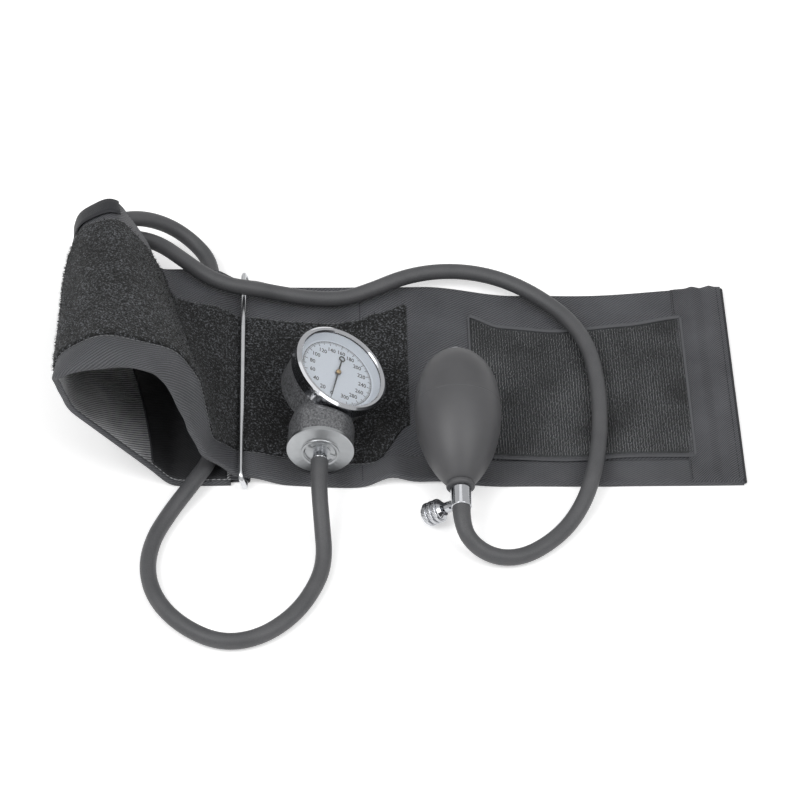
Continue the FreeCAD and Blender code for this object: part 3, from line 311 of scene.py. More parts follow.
def slab(low, high, front, rear, columns, round_off=0.0):
    """Outline of a flat layer between two lifts, its top corners eased by round_off mm."""
    across = np.linspace(rear, front, columns)
    ease = round_off / (2 * RIM)
    top = [(rear, high - round_off), (rear - 0.3 * ease, high - 0.3 * round_off)]
    top += [(v, high) for v in np.clip(across, front + ease, rear - ease)]
    top += [(front + 0.3 * ease, high - 0.3 * round_off), (front, high - round_off)]
    return top + [(v, low) for v in across[::-1]]


def twill_surface(dark, light, angle, pitch_mm, depth):
    """Twill: ribs of light thread at an angle to the band, broken into single threads by a finer
    wave across them, over slow changes of shade where the cloth is rubbed."""
    def surface(m):
        place = add(m, "ShaderNodeUVMap", uv_map="flat")
        lie = add(m, "ShaderNodeMapping", {"Vector": (place, "UV"), "Rotation": (0, 0, math.radians(angle))})
        ribs = add(m, "ShaderNodeTexWave", {"Vector": (lie, "Vector"), "Scale": 314.16 / pitch_mm,
                                            "Distortion": 0.6, "Detail": 1.0, "Detail Scale": 2.0})
        cross = add(m, "ShaderNodeTexWave", {"Vector": (lie, "Vector"), "Scale": 314.16 / (pitch_mm * 0.62),
                                             "Distortion": 0.8}, bands_direction="Y")
        weave = add(m, "ShaderNodeMath", {0: (cross, "Fac"), 1: 0.35, 2: (ribs, "Fac")},
                    operation="MULTIPLY_ADD")
        worn = add(m, "ShaderNodeTexNoise", {"Vector": (place, "UV"), "Scale": 26.0, "Detail": 5.0})
        part = add(m, "ShaderNodeMath", {0: (weave, "Value"), 1: 0.74}, operation="MULTIPLY")
        shade = add(m, "ShaderNodeMath", {0: (worn, "Fac"), 1: 1.1, 2: (part, "Value")},
                    operation="MULTIPLY_ADD")
        ramp = add(m, "ShaderNodeMapRange", {"Value": (shade, "Value"), "From Min": 0.45, "From Max": 1.6})
        colour = add(m, "ShaderNodeMix", {"Factor": (ramp, "Result"), 6: paint(dark), 7: paint(light)},
                     data_type="RGBA")
        relief = add(m, "ShaderNodeBump", {"Height": (weave, "Value"), "Strength": depth, "Distance": 0.0004})
        return {"Base_Color": (colour, 2), "Normal": (relief, "Normal")}
    return surface


hem_twill = finish_of("bias_cut_twill_tape", twill_surface("2f3033", "636468", 62, 1.3, 0.8), Roughness=0.6)
twill = finish_of("nylon_twill", twill_surface("232427", "67686d", 52, 1.45, 1.0), Roughness=0.6,
                  Sheen_Weight=0.05, Sheen_Roughness=0.4)
ribbed_twill = finish_of("lining_twill", twill_surface("101011", "dcdde0", 57, 1.6, 1.0), Roughness=0.6,
                         Sheen_Weight=0.05, Sheen_Roughness=0.4)
STATIONS = np.r_[np.arange(0, FLAT, 3.0), np.arange(FLAT, FLAT + HUMP, 1.5),
                 np.linspace(FLAT + HUMP, BAND_END, 200)]
cloth = layer("outer_cloth", STATIONS, slab(0.8, 1.7, 0.003, 0.997, 76), twill)
lining = layer("lining_cloth", STATIONS, slab(-1.64, -0.8, 0.003, 0.997, 76), ribbed_twill)
hems = []
for name, side in (("front_hem", 0), ("rear_hem", 1)):
    reach = 0.007 if side else 0.113
    fold = [(reach, 1.71), (reach * 0.6, 1.78), (0.004, 1.74), (-0.0015, 1.35), (-0.003, 0.5), (-0.003, -0.5),
            (-0.0015, -1.3), (0.002, -1.69), (0.005, -1.7), (0.007, -1.7), (0.007, -1.5), (0.004, -1.5),
            (0.002, 0), (0.003, 1.5), (reach, 1.5)]
    if not side:
        fold[1:2] = [(share, 1.78) for share in np.linspace(0.105, 0.012, 9)]
        fold[-1:] = [(share, 1.5) for share in np.linspace(0.012, 0.113, 9)]
    fold = [(1 - v, lift) for v, lift in fold[::-1]] if side else fold
    hems.append(layer(name, STATIONS, fold, hem_twill))
for piece, node, slot in ((cloth, "cuff_outer_cloth", "twill"), (lining, "cuff_lining", "lining_cloth"),
                          (hems[0], "front_binding", "hem_tape"), (hems[1], "rear_binding", "hem_tape")):
    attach(piece, BODY)
    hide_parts(node)

# ---- cuff, the velour pad ---------------------------------------------------------------------
# Knitted nylon whose loops were brushed up, so that hooks grip it. It is sewn on over the twill
# from the middle of the band to far round the loop, with one corner cut off.
def panel(name, us, front, rear, low, high, columns, material, relief=None, edge=0.8):
    """Closed sheet on the band between two curved sides, given as (u, v) stops. Its top is a grid
    of columns at the height high plus relief, rounded down over edge mm at both sides, and its
    underside is plain."""
    t = np.linspace(1, 0, columns)
    v = eased(us, front)[:, None] * (1 - t) + eased(us, rear)[:, None] * t
    near = np.minimum(t, 1 - t) * np.abs(v[:, :1] - v[:, -1:]) * 2 * RIM
    ends = np.minimum(us - us[0], us[-1] - us)[:, None]
    round_off = edge * (1 - np.clip(np.minimum(near, ends) / edge, 0, 1)) ** 2
    top = band(us[:, None], v, high - round_off + (0 if relief is None else relief))
    under = band(us[:, None], v[:, [-1, 0]], low)
    points = np.concatenate([top, under], axis=1)
    flat = np.stack(np.broadcast_arrays(us[:, None] / 1000, np.c_[v, v[:, [-1, 0]]] * 2 * RIM / 1000), -1)
    n = columns + 2
    faces = cells(len(us), n, wrap_columns=True)
    faces += [list(range(n)), [(len(us) - 1) * n + k for k in range(n)][::-1]]
    return mesh_piece(name, points.reshape(-1, 3), faces, material, flat.reshape(-1, 2))


def strands(name, rings, material):
    """Many small threads in one mesh. rings is an array of threads x places x corners x 3: each
    thread is a tube through its rings of corners, closed at both ends. Where a first ring's corners
    run anticlockwise seen from ahead, by the sum of its corners' cross products, they are taken the
    other way round, so that every thread faces outwards."""
    count, places, corners, _ = rings.shape
    middle = rings.mean(axis=2, keepdims=True)
    arm = rings[:, 0] - middle[:, 0]
    turned = np.cross(arm, np.roll(arm, -1, axis=1)).sum(axis=1)
    wrong = (turned * (middle[:, 1, 0] - middle[:, 0, 0])).sum(axis=1) > 0
    rings = np.where(wrong[:, None, None, None], rings[:, :, ::-1], rings)
    base = np.arange(count)[:, None, None] * places * corners
    tube = np.array(cells(places, corners, wrap_columns=True))
    faces = (base + tube).reshape(-1, 4).tolist() + (base[:, 0] + np.arange(corners)).tolist()
    faces += (base[:, 0] + (places - 1) * corners + np.arange(corners)[::-1]).tolist()
    return mesh_piece(name, rings.reshape(-1, 3), faces, material)


def velour_surface(dark, light, cell_mm):
    """Brushed pile: each small tuft catches the light by itself, so bright and dark specks lie
    side by side, over broad strokes of the brush."""
    def surface(m):
        place = add(m, "ShaderNodeTexCoord")
        tuft = add(m, "ShaderNodeTexVoronoi", {"Vector": (place, "Object"), "Scale": 1000.0 / cell_mm})
        fuzz = add(m, "ShaderNodeTexNoise", {"Vector": (place, "Object"), "Scale": 650.0 / cell_mm,
                                             "Detail": 1.0})
        stroke = add(m, "ShaderNodeTexNoise", {"Vector": (place, "Object"), "Scale": 38.0, "Detail": 2.0})
        both = add(m, "ShaderNodeMath", {0: (stroke, "Fac"), 1: 0.25, 2: (fuzz, "Fac")},
                   operation="MULTIPLY_ADD")
        tall = add(m, "ShaderNodeMath", {0: (tuft, "Distance"), 1: -0.45, 2: (both, "Value")},
                   operation="MULTIPLY_ADD")
        ramp = add(m, "ShaderNodeMapRange", {"Value": (tall, "Value"), "From Min": 0.39, "From Max": 0.65})
        colour = add(m, "ShaderNodeMix", {"Factor": (ramp, "Result"), 6: paint(dark), 7: paint(light)},
                     data_type="RGBA")
        relief = add(m, "ShaderNodeBump", {"Height": (tall, "Value"), "Strength": 0.9, "Distance": 0.0006})
        return {"Base_Color": (colour, 2), "Normal": (relief, "Normal")}
    return surface


velour = finish_of("brushed_loop_velour", velour_surface("070808", "64666a", 0.85), Roughness=0.95,
                   Sheen_Weight=0.05, Sheen_Roughness=0.6)
velour_tips = finish_of("velour_loop_tips", velour_surface("1c1d1e", "66686a", 1.2), Roughness=0.9)
PAD_FROM, PAD_TO = 184.5, 490.0
PAD_FRONT = [(184.5, 0.27), (204, 0.095), (215, 0.097), (251, 0.118), (284, 0.108), (312, 0.112),
             (370, 0.108), (397, 0.106), (438, 0.108), (490, 0.112)]
PAD_REAR = [(184.5, 0.895), (202, 0.85), (214, 0.812), (229, 0.797), (252, 0.806), (278, 0.79), (318, 0.80),
            (350, 0.83), (392, 0.86), (420, 0.88), (490, 0.88)]
PAD_LOW, PAD_HIGH = 1.95, 3.0
random = np.random.default_rng(11)
pad_us = np.arange(PAD_FROM, PAD_TO, 1.15)
pile = random.random((len(pad_us), 92)) * 0.55
loop_pad = panel("loop_pad_velour", pad_us, PAD_FRONT, PAD_REAR, PAD_LOW, PAD_HIGH, 92, velour, pile)

TUFTS, PILE_SPLIT = 22000, 320     # the pile is two pieces, parted this far from the free end
tuft_u = random.uniform(PAD_FROM + 0.3, PAD_TO - 0.3, TUFTS)
share = random.random(TUFTS)
tuft_v = eased(tuft_u, PAD_FRONT) * (1 - share) + eased(tuft_u, PAD_REAR) * share
root = band(tuft_u, tuft_v, PAD_HIGH - 0.5)
tip = band(tuft_u, tuft_v, PAD_HIGH + random.uniform(0.5, 1.5, TUFTS)) + random.normal(0, 0.45, (TUFTS, 3))
bow = (root + tip) / 2 + random.normal(0, 0.18, (TUFTS, 3))
upward = band(tuft_u, tuft_v, PAD_HIGH + 1.0) - band(tuft_u, tuft_v, PAD_HIGH)
sideways = np.cross(upward, (0.0, 1.0, 0.0))
corner = np.stack([sideways, -0.5 * sideways + 0.87 * np.cross(upward, sideways),
                   -0.5 * sideways - 0.87 * np.cross(upward, sideways)], axis=1)
tuft = np.stack([root[:, None] + corner * 0.17, bow[:, None] + corner * 0.13,
                 tip[:, None] + corner * 0.05], axis=1)
piles = [strands("loop_pad_pile_flat", tuft[tuft_u < PILE_SPLIT], velour_tips),
         strands("loop_pad_pile_loop", tuft[tuft_u >= PILE_SPLIT], velour_tips)]
for piece in [loop_pad] + piles:
    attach(piece, BODY)
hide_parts("loop_pad")

# ---- cuff, the hook pad -----------------------------------------------------------------------
# Woven nylon tape with rows of small bent hooks, sewn on near the free end by a zigzag of grey
# thread over its edges, which are rolled under.
def edge_path(stops, us, lift):
    """Points along one side of a panel, given as (u, v) stops."""
    return band(us, eased(us, stops), lift)


def along_path(path, spacing, start=0.0):
    """Evenly spaced places on a dense line of points, with the direction there."""
    run = np.r_[0, np.cumsum(np.linalg.norm(np.diff(path, axis=0), axis=1))]
    at = np.arange(start, run[-1], spacing)
    place = np.stack([np.interp(at, run, path[:, k]) for k in range(3)], -1)
    ahead = np.stack([np.interp(at + 0.4, run, path[:, k]) for k in range(3)], -1)
    back = np.stack([np.interp(at - 0.4, run, path[:, k]) for k in range(3)], -1)
    way = ahead - back
    return place, way / np.maximum(np.linalg.norm(way, axis=1), 1e-9)[:, None]


def stitches(name, path, upward, material, spacing, length, thick, slant=0.0):
    """Row of thread stitches on a line: each a short low arch, turned by slant across the line,
    one way and then the other where slant zigzags."""
    place, way = along_path(path, spacing, spacing / 2)
    up_way = np.broadcast_to(np.asarray(upward, float), way.shape)
    side = np.cross(up_way, way)
    sign = np.where(np.arange(len(place)) % 2, 1, -1)[:, None] if slant else np.zeros((len(place), 1))
    lie = way * math.cos(slant) + side * sign * math.sin(slant)
    t = np.array([-0.5, -0.3, 0.0, 0.3, 0.5])
    arch = thick * (1 - 4 * t * t)
    spine = place[:, None] + lie[:, None] * (t * length)[:, None] + up_way[:, None] * arch[:, None]
    flank = np.cross(lie, up_way)
    angle = np.arange(5) * 2 * math.pi / 5
    girth = thick * np.array([0.5, 0.95, 1.0, 0.95, 0.5])[:, None, None]
    ring = flank[:, None, None] * np.cos(angle)[:, None] + up_way[:, None, None] * np.sin(angle)[:, None]
    return strands(name, spine[:, :, None] + ring * girth, material)


def thread_surface(dark, light):
    """Spun nylon thread, two greys that change slowly from stitch to stitch."""
    def surface(m):
        place = add(m, "ShaderNodeTexCoord")
        noise = add(m, "ShaderNodeTexNoise", {"Vector": (place, "Object"), "Scale": 700.0, "Detail": 1.0})
        colour = add(m, "ShaderNodeMix", {"Factor": (noise, "Fac"), 6: paint(dark), 7: paint(light)},
                     data_type="RGBA")
        return {"Base_Color": (colour, 2)}
    return surface


def hook_surface(dark, light):
    """Nylon hook tape: two greys mixed by fine grain and slow changes of shade, with a fine bump."""
    def surface(m):
        place = add(m, "ShaderNodeTexCoord")
        grain = add(m, "ShaderNodeTexNoise", {"Vector": (place, "Object"), "Scale": 900.0, "Detail": 2.0})
        worn = add(m, "ShaderNodeTexNoise", {"Vector": (place, "Object"), "Scale": 30.0, "Detail": 2.0})
        both = add(m, "ShaderNodeMath", {0: (grain, "Fac"), 1: (worn, "Fac")}, operation="ADD")
        ramp = add(m, "ShaderNodeMapRange", {"Value": (both, "Value"), "From Min": 0.75, "From Max": 1.25})
        colour = add(m, "ShaderNodeMix", {"Factor": (ramp, "Result"), 6: paint(dark), 7: paint(light)},
                     data_type="RGBA")
        relief = add(m, "ShaderNodeBump", {"Height": (grain, "Fac"), "Strength": 0.4, "Distance": 0.0003})
        return {"Base_Color": (colour, 2), "Normal": (relief, "Normal")}
    return surface


hook_base = finish_of("hook_tape_ground", hook_surface("242526", "404244"), Roughness=0.8)
hook_nylon = finish_of("bent_nylon_hooks", hook_surface("515254", "98999b"), Roughness=0.5)
grey_thread = finish_of("spun_grey_thread", thread_surface("5c5d5f", "8a8b8d"), Roughness=0.7)
HOOK_FROM, HOOK_TO = 25.0, 148.5
HOOK_FRONT = [(25, 0.125), (60, 0.128), (100, 0.110), (148.5, 0.124)]
HOOK_REAR = [(25, 0.845), (60, 0.820), (100, 0.795), (130, 0.815), (148.5, 0.855)]
HOOK_LOW, HOOK_HIGH = 1.95, 2.6
hook_us = np.arange(HOOK_FROM, HOOK_TO, 1.55)
hook_pad = panel("hook_pad_tape", np.arange(HOOK_FROM, HOOK_TO + 0.1, 1.5), HOOK_FRONT, HOOK_REAR, HOOK_LOW,
                 HOOK_HIGH, 60, hook_base)
rows = np.arange(0.030, 0.972, 0.0118)
hook_u, hook_t = [a.ravel() for a in np.meshgrid(hook_us[1:-1] + 0.6, rows, indexing="ij")]
hook_u = hook_u + random.normal(0, 0.13, hook_u.size)
hook_t = hook_t + random.normal(0, 0.0022, hook_u.size)
hook_v = eased(hook_u, HOOK_FRONT) * (1 - hook_t) + eased(hook_u, HOOK_REAR) * hook_t
lean = random.normal(0, 0.25, hook_u.size)
foot = band(hook_u, hook_v, HOOK_HIGH - 0.2)
bend = np.array([(0, 0, 0.0), (0.05, 0.1, 0.75), (0.1, 0.42, 1.15), (0.0, 0.78, 0.85)])
spine = foot[:, None] + bend
spine[:, 1:, 0] += lean[:, None] * np.array([0.4, 0.9, 1.3])
triangle = np.array([(0.24, 0.0, 0.0), (-0.24, 0.10, 0.05), (0.0, -0.14, 0.20)])
hooks = strands("hook_pad_hooks", spine[:, :, None] + triangle, hook_nylon)


def roll_along(name, path, upward, radius, flatten, material):
    """Rolled edge: a flattened tube along a dense line of points, closed at both ends."""
    place, way = along_path(path, 1.5)
    up_way = np.broadcast_to(np.asarray(upward, float), way.shape)
    side = np.cross(up_way, way)
    angle = np.arange(10) * 2 * math.pi / 10
    wide, high = np.cos(angle) * radius, np.sin(angle) * radius * flatten
    ring = side[:, None] * wide[:, None] + up_way[:, None] * high[:, None]
    return strands(name, (place[:, None] + ring)[None], material)


edge_tape = finish_of("rolled_tape_edge", twill_surface("515255", "85868a", 20, 1.1, 0.5), Roughness=0.8)
fine_us = np.linspace(HOOK_FROM + 0.5, HOOK_TO, 200)
end_vs, inner_vs = (np.linspace(*(eased(np.array([u]), stops)[0] for stops in (HOOK_FRONT, HOOK_REAR)), 120)
                    for u in (HOOK_FROM, HOOK_TO))
sides = {"front": edge_path(HOOK_FRONT, fine_us, HOOK_HIGH + 0.1),
         "rear": edge_path(HOOK_REAR, fine_us, HOOK_HIGH + 0.1),
         "end": band(HOOK_FROM + 0.5, end_vs, HOOK_HIGH + 0.1),
         "inner": band(HOOK_TO, inner_vs, HOOK_HIGH)}
edging = []
for side, path in sides.items():
    thick = {"inner": 0.7, "end": 1.0}.get(side, 1.3)
    edging.append(roll_along("hook_pad_edge_" + side, path, (0, 0, 1), thick, 0.55, edge_tape))
    if side == "front":
        edging.append(stitches("hook_pad_zigzag_" + side, path + [0, 0, 0.75], (0, 0, 1), edge_tape, 1.1, 2.2,
                               0.22, slant=0.9))
for piece in [hook_pad, hooks] + edging:
    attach(piece, BODY)
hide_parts("hook_pad")

# ---- cuff, its free end ------------------------------------------------------------------------
# The end is stiffened: a doubled piece of the same twill, pressed in two soft ridges and closed
# by a rolled dark edge. Its inner side is stitched down beside the hook pad.
END_FROM, END_TO = -0.4, 29.5
end_us = np.concatenate([np.linspace(END_FROM, 2.0, 5), np.arange(2.6, END_TO, 0.6), [END_TO]])
ridge = (1.15 * np.exp(-((end_us - 6.8) / 2.3) ** 2) + 1.15 * np.exp(-((end_us - 17.0) / 2.6) ** 2)
         - 0.45 * np.exp(-((end_us - 11.8) / 1.2) ** 2) - 0.1)
waver = 0.12 * np.sin(np.linspace(0, 9, 64))[None, :] + 0.08 * np.sin(np.linspace(0, 23, 64) + 1.0)[None, :]
relief = np.where(end_us > END_TO - 2.0, -0.2, ridge)[:, None] + waver
end_twill = finish_of("stiffened_nylon_twill", twill_surface("1b1c1f", "797a7f", -46, 1.1, 1.2),
                      Roughness=0.6)
end_tab = panel("end_tab_twill", end_us, [(-1, -0.003), (30, 0.0)], [(-1, 1.003), (30, 1.0)], 1.72, 2.7, 64,
                end_twill, relief, edge=0.6)
dark_edge = finish_of("folded_twill_edge", twill_surface("232427", "45464a", 52, 1.2, 0.7), Roughness=0.7)
end_line = band(0.0, np.linspace(0.0, 1.0, 220), 0.9)
end_roll = roll_along("end_tab_roll", end_line, (0, 0, 1), 1.5, 1.05, dark_edge)
# Rows of thread across the band: name, mm from the free end, share of the width from and to, places,
# lift, then spacing, length and thickness of a stitch.
CROSS_ROWS = [("end_tab_stitches", 2.6, 0.01, 0.99, 240, 2.62, 2.6, 2.0, 0.2),
              ("end_seam_stitches", 28.6, 0.005, 0.11, 60, 2.62, 2.4, 1.9, 0.2),
              ("end_seam_stitches_rear", 28.6, 0.86, 0.99, 60, 2.62, 2.4, 1.9, 0.2),
              ("panel_seam_rear", 211.5, 0.815, 0.99, 80, 1.9, 2.2, 2.0, 0.22),
              ("panel_seam_front", 211.5, 0.01, 0.09, 40, 1.9, 2.2, 2.0, 0.22)]
cross_seams = [stitches(name, band(u, np.linspace(begin, end, count), lift), (0, 0, 1), dark_edge, *thread)
               for name, u, begin, end, count, lift, *thread in CROSS_ROWS]
# A raised welt along the lining's crease inside the loop. The relief is real, and its dark cloth is painted
# shade for the crease's shadow.
CREASE_AT, CREASE_BOW = 531.0, 38.0      # where the crease starts, with the painted shade beyond it; how far it bows back
crease_v = np.linspace(0.02, 0.75, 200)
welt_up = band(520.0, 0.3, -3.0) - band(520.0, 0.3, -2.0)
crease_line = band(CREASE_AT - CREASE_BOW * crease_v ** 1.4, crease_v, -1.75)
crease_welt = roll_along("dark_crease_welt", crease_line, welt_up / np.linalg.norm(welt_up), 0.9, 0.7,
                         dark_edge)
for piece in [end_tab, end_roll, crease_welt] + cross_seams:
    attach(piece, BODY)


def pocket_cloth(name, begins, ends):
    """Thin closed black cloth on the lining's inner side, painted shade where the loop's roof shades the
    lining: for each v its places run evenly from the line u = begins(v) to the line u = ends(v)."""
    rows = 44
    v, share = np.linspace(0.012, 0.97, 60), np.linspace(0, 1, rows)[:, None]
    u = begins(v) + (ends(v) - begins(v)) * share
    points = np.concatenate([band(u, v, -1.80), band(u, v, -1.66)[:, ::-1]], axis=1)
    across = np.broadcast_to(np.r_[v, v[::-1]] * 2 * RIM, points.shape[:2])
    flat = np.stack([np.concatenate([u, u[:, ::-1]], axis=1), across], -1) / 1000
    n = len(v) * 2
    faces = cells(rows, n, wrap_columns=True)
    faces += [list(range(n)), [(rows - 1) * n + k for k in range(n)][::-1]]
    return mesh_piece(name, points.reshape(-1, 3), faces, painted_shade_twill, flat.reshape(-1, 2))


# Black copy of the lining twill, laid as painted shade on the loop's floor past the crease and on its inner
# right wall, where the loop's roof casts its shadow.
painted_shade_twill = finish_of("painted_shade_black_twill", twill_surface("08080a", "3a3b3e", 57, 1.1, 0.5), Roughness=0.7)
for piece in (pocket_cloth("painted_shade_cloth_floor", lambda v: CREASE_AT - CREASE_BOW * v ** 1.4,
                           lambda v: 576.0 + 0 * v),
              pocket_cloth("painted_shade_cloth_wall", lambda v: 288.0 + 0 * v, lambda v: 396.0 + 0 * v)):
    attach(piece, BODY)
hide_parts("end_tab")

# ---- cuff, its seams and label -----------------------------------------------------------------
# Rows of thread hold the velour down. The label is a bare piece of navy satin ribbon, folded over
# the rear rim at the top of the loop and sewn in with it.
SEAM_STEP = 2.8
pad_line = np.linspace(PAD_FROM + 20, PAD_TO - 2, 600)
seams = []
for name, stops, inward in (("velour_seam_front", PAD_FRONT, -0.006), ("velour_seam_rear", PAD_REAR, 0.006)):
    path = band(pad_line, eased(pad_line, stops) + inward, 1.85)
    outer = band(pad_line, eased(pad_line, stops) + inward, 3.0) - path
    run = np.r_[0, np.cumsum(np.linalg.norm(np.diff(path, axis=0), axis=1))]
    at = np.arange(SEAM_STEP / 2, run[-1], SEAM_STEP)
    index = np.clip(np.searchsorted(run, at), 0, len(outer) - 1)
    upward = outer[index] / np.linalg.norm(outer[index], axis=1)[:, None]
    seams.append(stitches(name, path, upward, grey_thread, SEAM_STEP, 2.2, 0.22))
label_ribbon = finish_of("navy_satin_ribbon", twill_surface("05060a", "11141c", 0, 0.6, 0.3), Roughness=0.6)
LABEL_US = np.linspace(393.0, 427.0, 60)
LABEL_SECTION = [(0.905, 3.05), (0.93, 3.15), (0.97, 3.15), (0.997, 3.05), (1.006, 2.2), (1.009, 0.6),
                 (1.009, -0.6), (1.006, -1.9), (0.997, -2.4), (0.955, -2.5), (0.955, -2.15),
                 (0.993, -2.05), (1.004, -1.5), (1.0045, 0.0), (1.002, 1.9), (0.993, 2.75), (0.905, 2.75)]
label = layer("size_label_ribbon", LABEL_US, LABEL_SECTION[::-1], label_ribbon)
for piece in seams + [label]:
    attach(piece, BODY)
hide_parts("size_label")

# ---- D-ring and its hem --------------------------------------------------------------------------
# Round steel wire, bent to a long closed rectangle and nickel plated. The lining's end is folded
# round its lower bar and sewn, so the ring swings in that sleeve.
def smooth_copy(node, name, material, body, sharp=32):
    """Copy of a solid of the frame, welded, with smooth faces that meet in crisp edges where they
    turn by more than sharp degrees."""
    mesh = bpy.data.objects[node].data.copy()
    work = bmesh.new()
    work.from_mesh(mesh)
    bmesh.ops.remove_doubles(work, verts=work.verts, dist=2e-6)
    bmesh.ops.dissolve_degenerate(work, edges=work.edges, dist=1e-6)
    work.to_mesh(mesh)
    work.free()
    mesh.materials.clear()
    mesh.materials.append(material)
    mesh.polygons.foreach_set("use_smooth", np.full(len(mesh.polygons), True))
    mesh.polygons.foreach_set("material_index", np.zeros(len(mesh.polygons), int))
    mesh.set_sharp_from_angle(angle=math.radians(sharp))
    piece = bpy.data.objects.new(name, mesh)
    bpy.context.scene.collection.objects.link(piece)
    weigh = piece.modifiers.new("even_shade", "WEIGHTED_NORMAL")
    weigh.keep_sharp = True
    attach(piece, body)
    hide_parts(node)
    return piece


def plated_surface(tint, deep, scratch_mm, rough):
    """Plated metal: one bright colour, dulled in small patches by handling, with fine scratches."""
    def surface(m):
        place = add(m, "ShaderNodeTexCoord")
        hand = add(m, "ShaderNodeTexNoise", {"Vector": (place, "Object"), "Scale": 120.0, "Detail": 3.0})
        scratch = add(m, "ShaderNodeTexNoise", {"Vector": (place, "Object"), "Scale": 1000.0 / scratch_mm,
                                                "Detail": 2.0})
        colour = add(m, "ShaderNodeMix", {"Factor": (hand, "Fac"), 6: paint(tint), 7: paint(deep)},
                     data_type="RGBA")
        dull = add(m, "ShaderNodeMapRange", {"Value": (hand, "Fac"), "To Min": rough * 0.6,
                                             "To Max": rough * 1.5})
        relief = add(m, "ShaderNodeBump", {"Height": (scratch, "Fac"), "Strength": 0.04, "Distance": 0.0001})
        return {"Base_Color": (colour, 2), "Roughness": (dull, "Result"), "Normal": (relief, "Normal")}
    return surface


nickel = finish_of("bright_nickel_plate", plated_surface("e0e1e3", "c4c6c9", 1.2, 0.2), Metallic=1.0)
satin = finish_of("satin_turned_nickel", plated_surface("b0b2b4", "9d9fa1", 1.2, 0.34), Metallic=1.0)
chrome = finish_of("polished_chrome_plate", plated_surface("c9cacd", "b3b5b9", 1.0, 0.10), Metallic=1.0)
RING_HALF, RING_SPAN, RING_CORNER, RING_WIRE = 78.3, 11.0, 3.5, 1.5
RING_AT, RING_LEAN = np.array([-89.0, -1.0, 2.5]), math.radians(12.0)


def ring_line(count):
    """Closed middle line of the wire in its own plane: (along, up) on a rectangle whose corners
    are quarter circles, evenly spaced by length."""
    a, b, r = RING_HALF - RING_CORNER, RING_SPAN - RING_CORNER, RING_CORNER
    quarter = np.linspace(0, math.pi / 2, 9)
    line = np.vstack([np.stack([x + r * np.cos(start + quarter), y + r * np.sin(start + quarter)], -1)
                      for x, y, start in ((a, b, 0), (-a, b, math.pi / 2), (-a, r, math.pi),
                                          (a, r, 1.5 * math.pi))])
    line = np.vstack([line, line[:1]])
    run = np.r_[0, np.cumsum(np.hypot(*np.diff(line, axis=0).T))]
    at = np.linspace(0, run[-1], count, endpoint=False)
    return np.stack([np.interp(at, run, line[:, k]) for k in (0, 1)], -1)


RING_PLACES, RING_SIDES = 260, 20
wire = ring_line(RING_PLACES)
way = np.roll(wire, -1, axis=0) - np.roll(wire, 1, axis=0)
way /= np.hypot(*way.T)[:, None]
out = np.stack([way[:, 1], -way[:, 0]], -1)
angle = np.arange(RING_SIDES) * 2 * math.pi / RING_SIDES
flat = wire[:, None] + out[:, None] * (RING_WIRE * np.cos(angle))[None, :, None]
depth = np.broadcast_to(RING_WIRE * np.sin(angle)[None, :], flat.shape[:2])
leant = np.stack([depth * math.cos(RING_LEAN) - flat[..., 1] * math.sin(RING_LEAN), flat[..., 0],
                  flat[..., 1] * math.cos(RING_LEAN) + depth * math.sin(RING_LEAN)], -1) + RING_AT
d_ring = mesh_piece("d_ring_wire", leant.reshape(-1, 3), cells(RING_PLACES, RING_SIDES, True, True), nickel)
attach(d_ring, "d_ring")
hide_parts("d_ring")

HEM_HALF, HEM_R, HEM_TAIL, HEM_ROWS = 72.5, 2.75, -8.4, 90
hem_y = np.linspace(-HEM_HALF, HEM_HALF, HEM_ROWS)
hem_angle = np.radians(np.linspace(-150, 150, 26))
outer = np.stack([HEM_R * np.cos(hem_angle), HEM_R * np.sin(hem_angle)], -1)
hem_line = np.vstack([[(HEM_TAIL, -1.75)], outer, [(HEM_TAIL, 0.75)], [(HEM_TAIL, 0.2)],
                      (outer * 0.66)[::-1], [(HEM_TAIL, -1.2)]])
hem_points = np.stack(np.broadcast_arrays(RING_AT[0] + hem_line[:, 0], hem_y[:, None],
                                          RING_AT[2] + np.maximum(hem_line[:, 1], -2.4)), -1)
hem_flat = np.stack(np.broadcast_arrays(hem_y[:, None] / 1000, np.arange(len(hem_line)) * 0.0006), -1)
n = len(hem_line)
hem_faces = cells(HEM_ROWS, n, wrap_columns=True)
hem_faces += [list(range(n)), [(HEM_ROWS - 1) * n + k for k in range(n)][::-1]]
ring_hem = mesh_piece("ring_hem_cloth", hem_points.reshape(-1, 3), hem_faces, twill, hem_flat.reshape(-1, 2))
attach(ring_hem, BODY)
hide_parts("ring_hem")

# ---- hose ports ----------------------------------------------------------------------------------
# Moulded black rubber elbows, bonded to the bladder, that carry the hoses out of the rear rim.
for node in ("inflation_port", "gauge_port"):
    smooth_copy(node, node + "_elbow", hose_rubber, BODY, sharp=50)

# ---- bulb ------------------------------------------------------------------------------------------
# Grey PVC bulb, slush moulded in two halves, which leaves one faint moulded line round it. The neck
# ends in a rolled collar that grips the valve.
def placement(origin, x_way, z_way):
    """Origin and three directions of a piece's own frame, from its X and Z."""
    x, z = (np.array(w, float) / np.linalg.norm(w) for w in (x_way, z_way))
    return np.array(origin, float), x, np.cross(z, x), z


def lathe(name, outline, place, material, around=128, sharp=32):
    """Solid of revolution from (height, radius) corners, closed in the order given and carried
    round the frame's Z. Each point is origin + radius (cos a X + sin a Y) + height Z."""
    origin, x, y, z = place
    height, radius = np.array(outline, float).T
    angle = np.arange(around) * 2 * math.pi / around
    spoke = x * np.cos(angle)[:, None] + y * np.sin(angle)[:, None]
    points = origin + spoke[:, None] * radius[:, None] + z * height[:, None]
    area = np.sum(height * (np.roll(radius, -1) - np.roll(radius, 1)))
    faces = cells(around, len(outline), True, True)
    if area > 0:
        faces = [f[::-1] for f in faces]
    piece = mesh_piece(name, points.reshape(-1, 3), faces, material)
    piece.data.set_sharp_from_angle(angle=math.radians(sharp))
    return piece


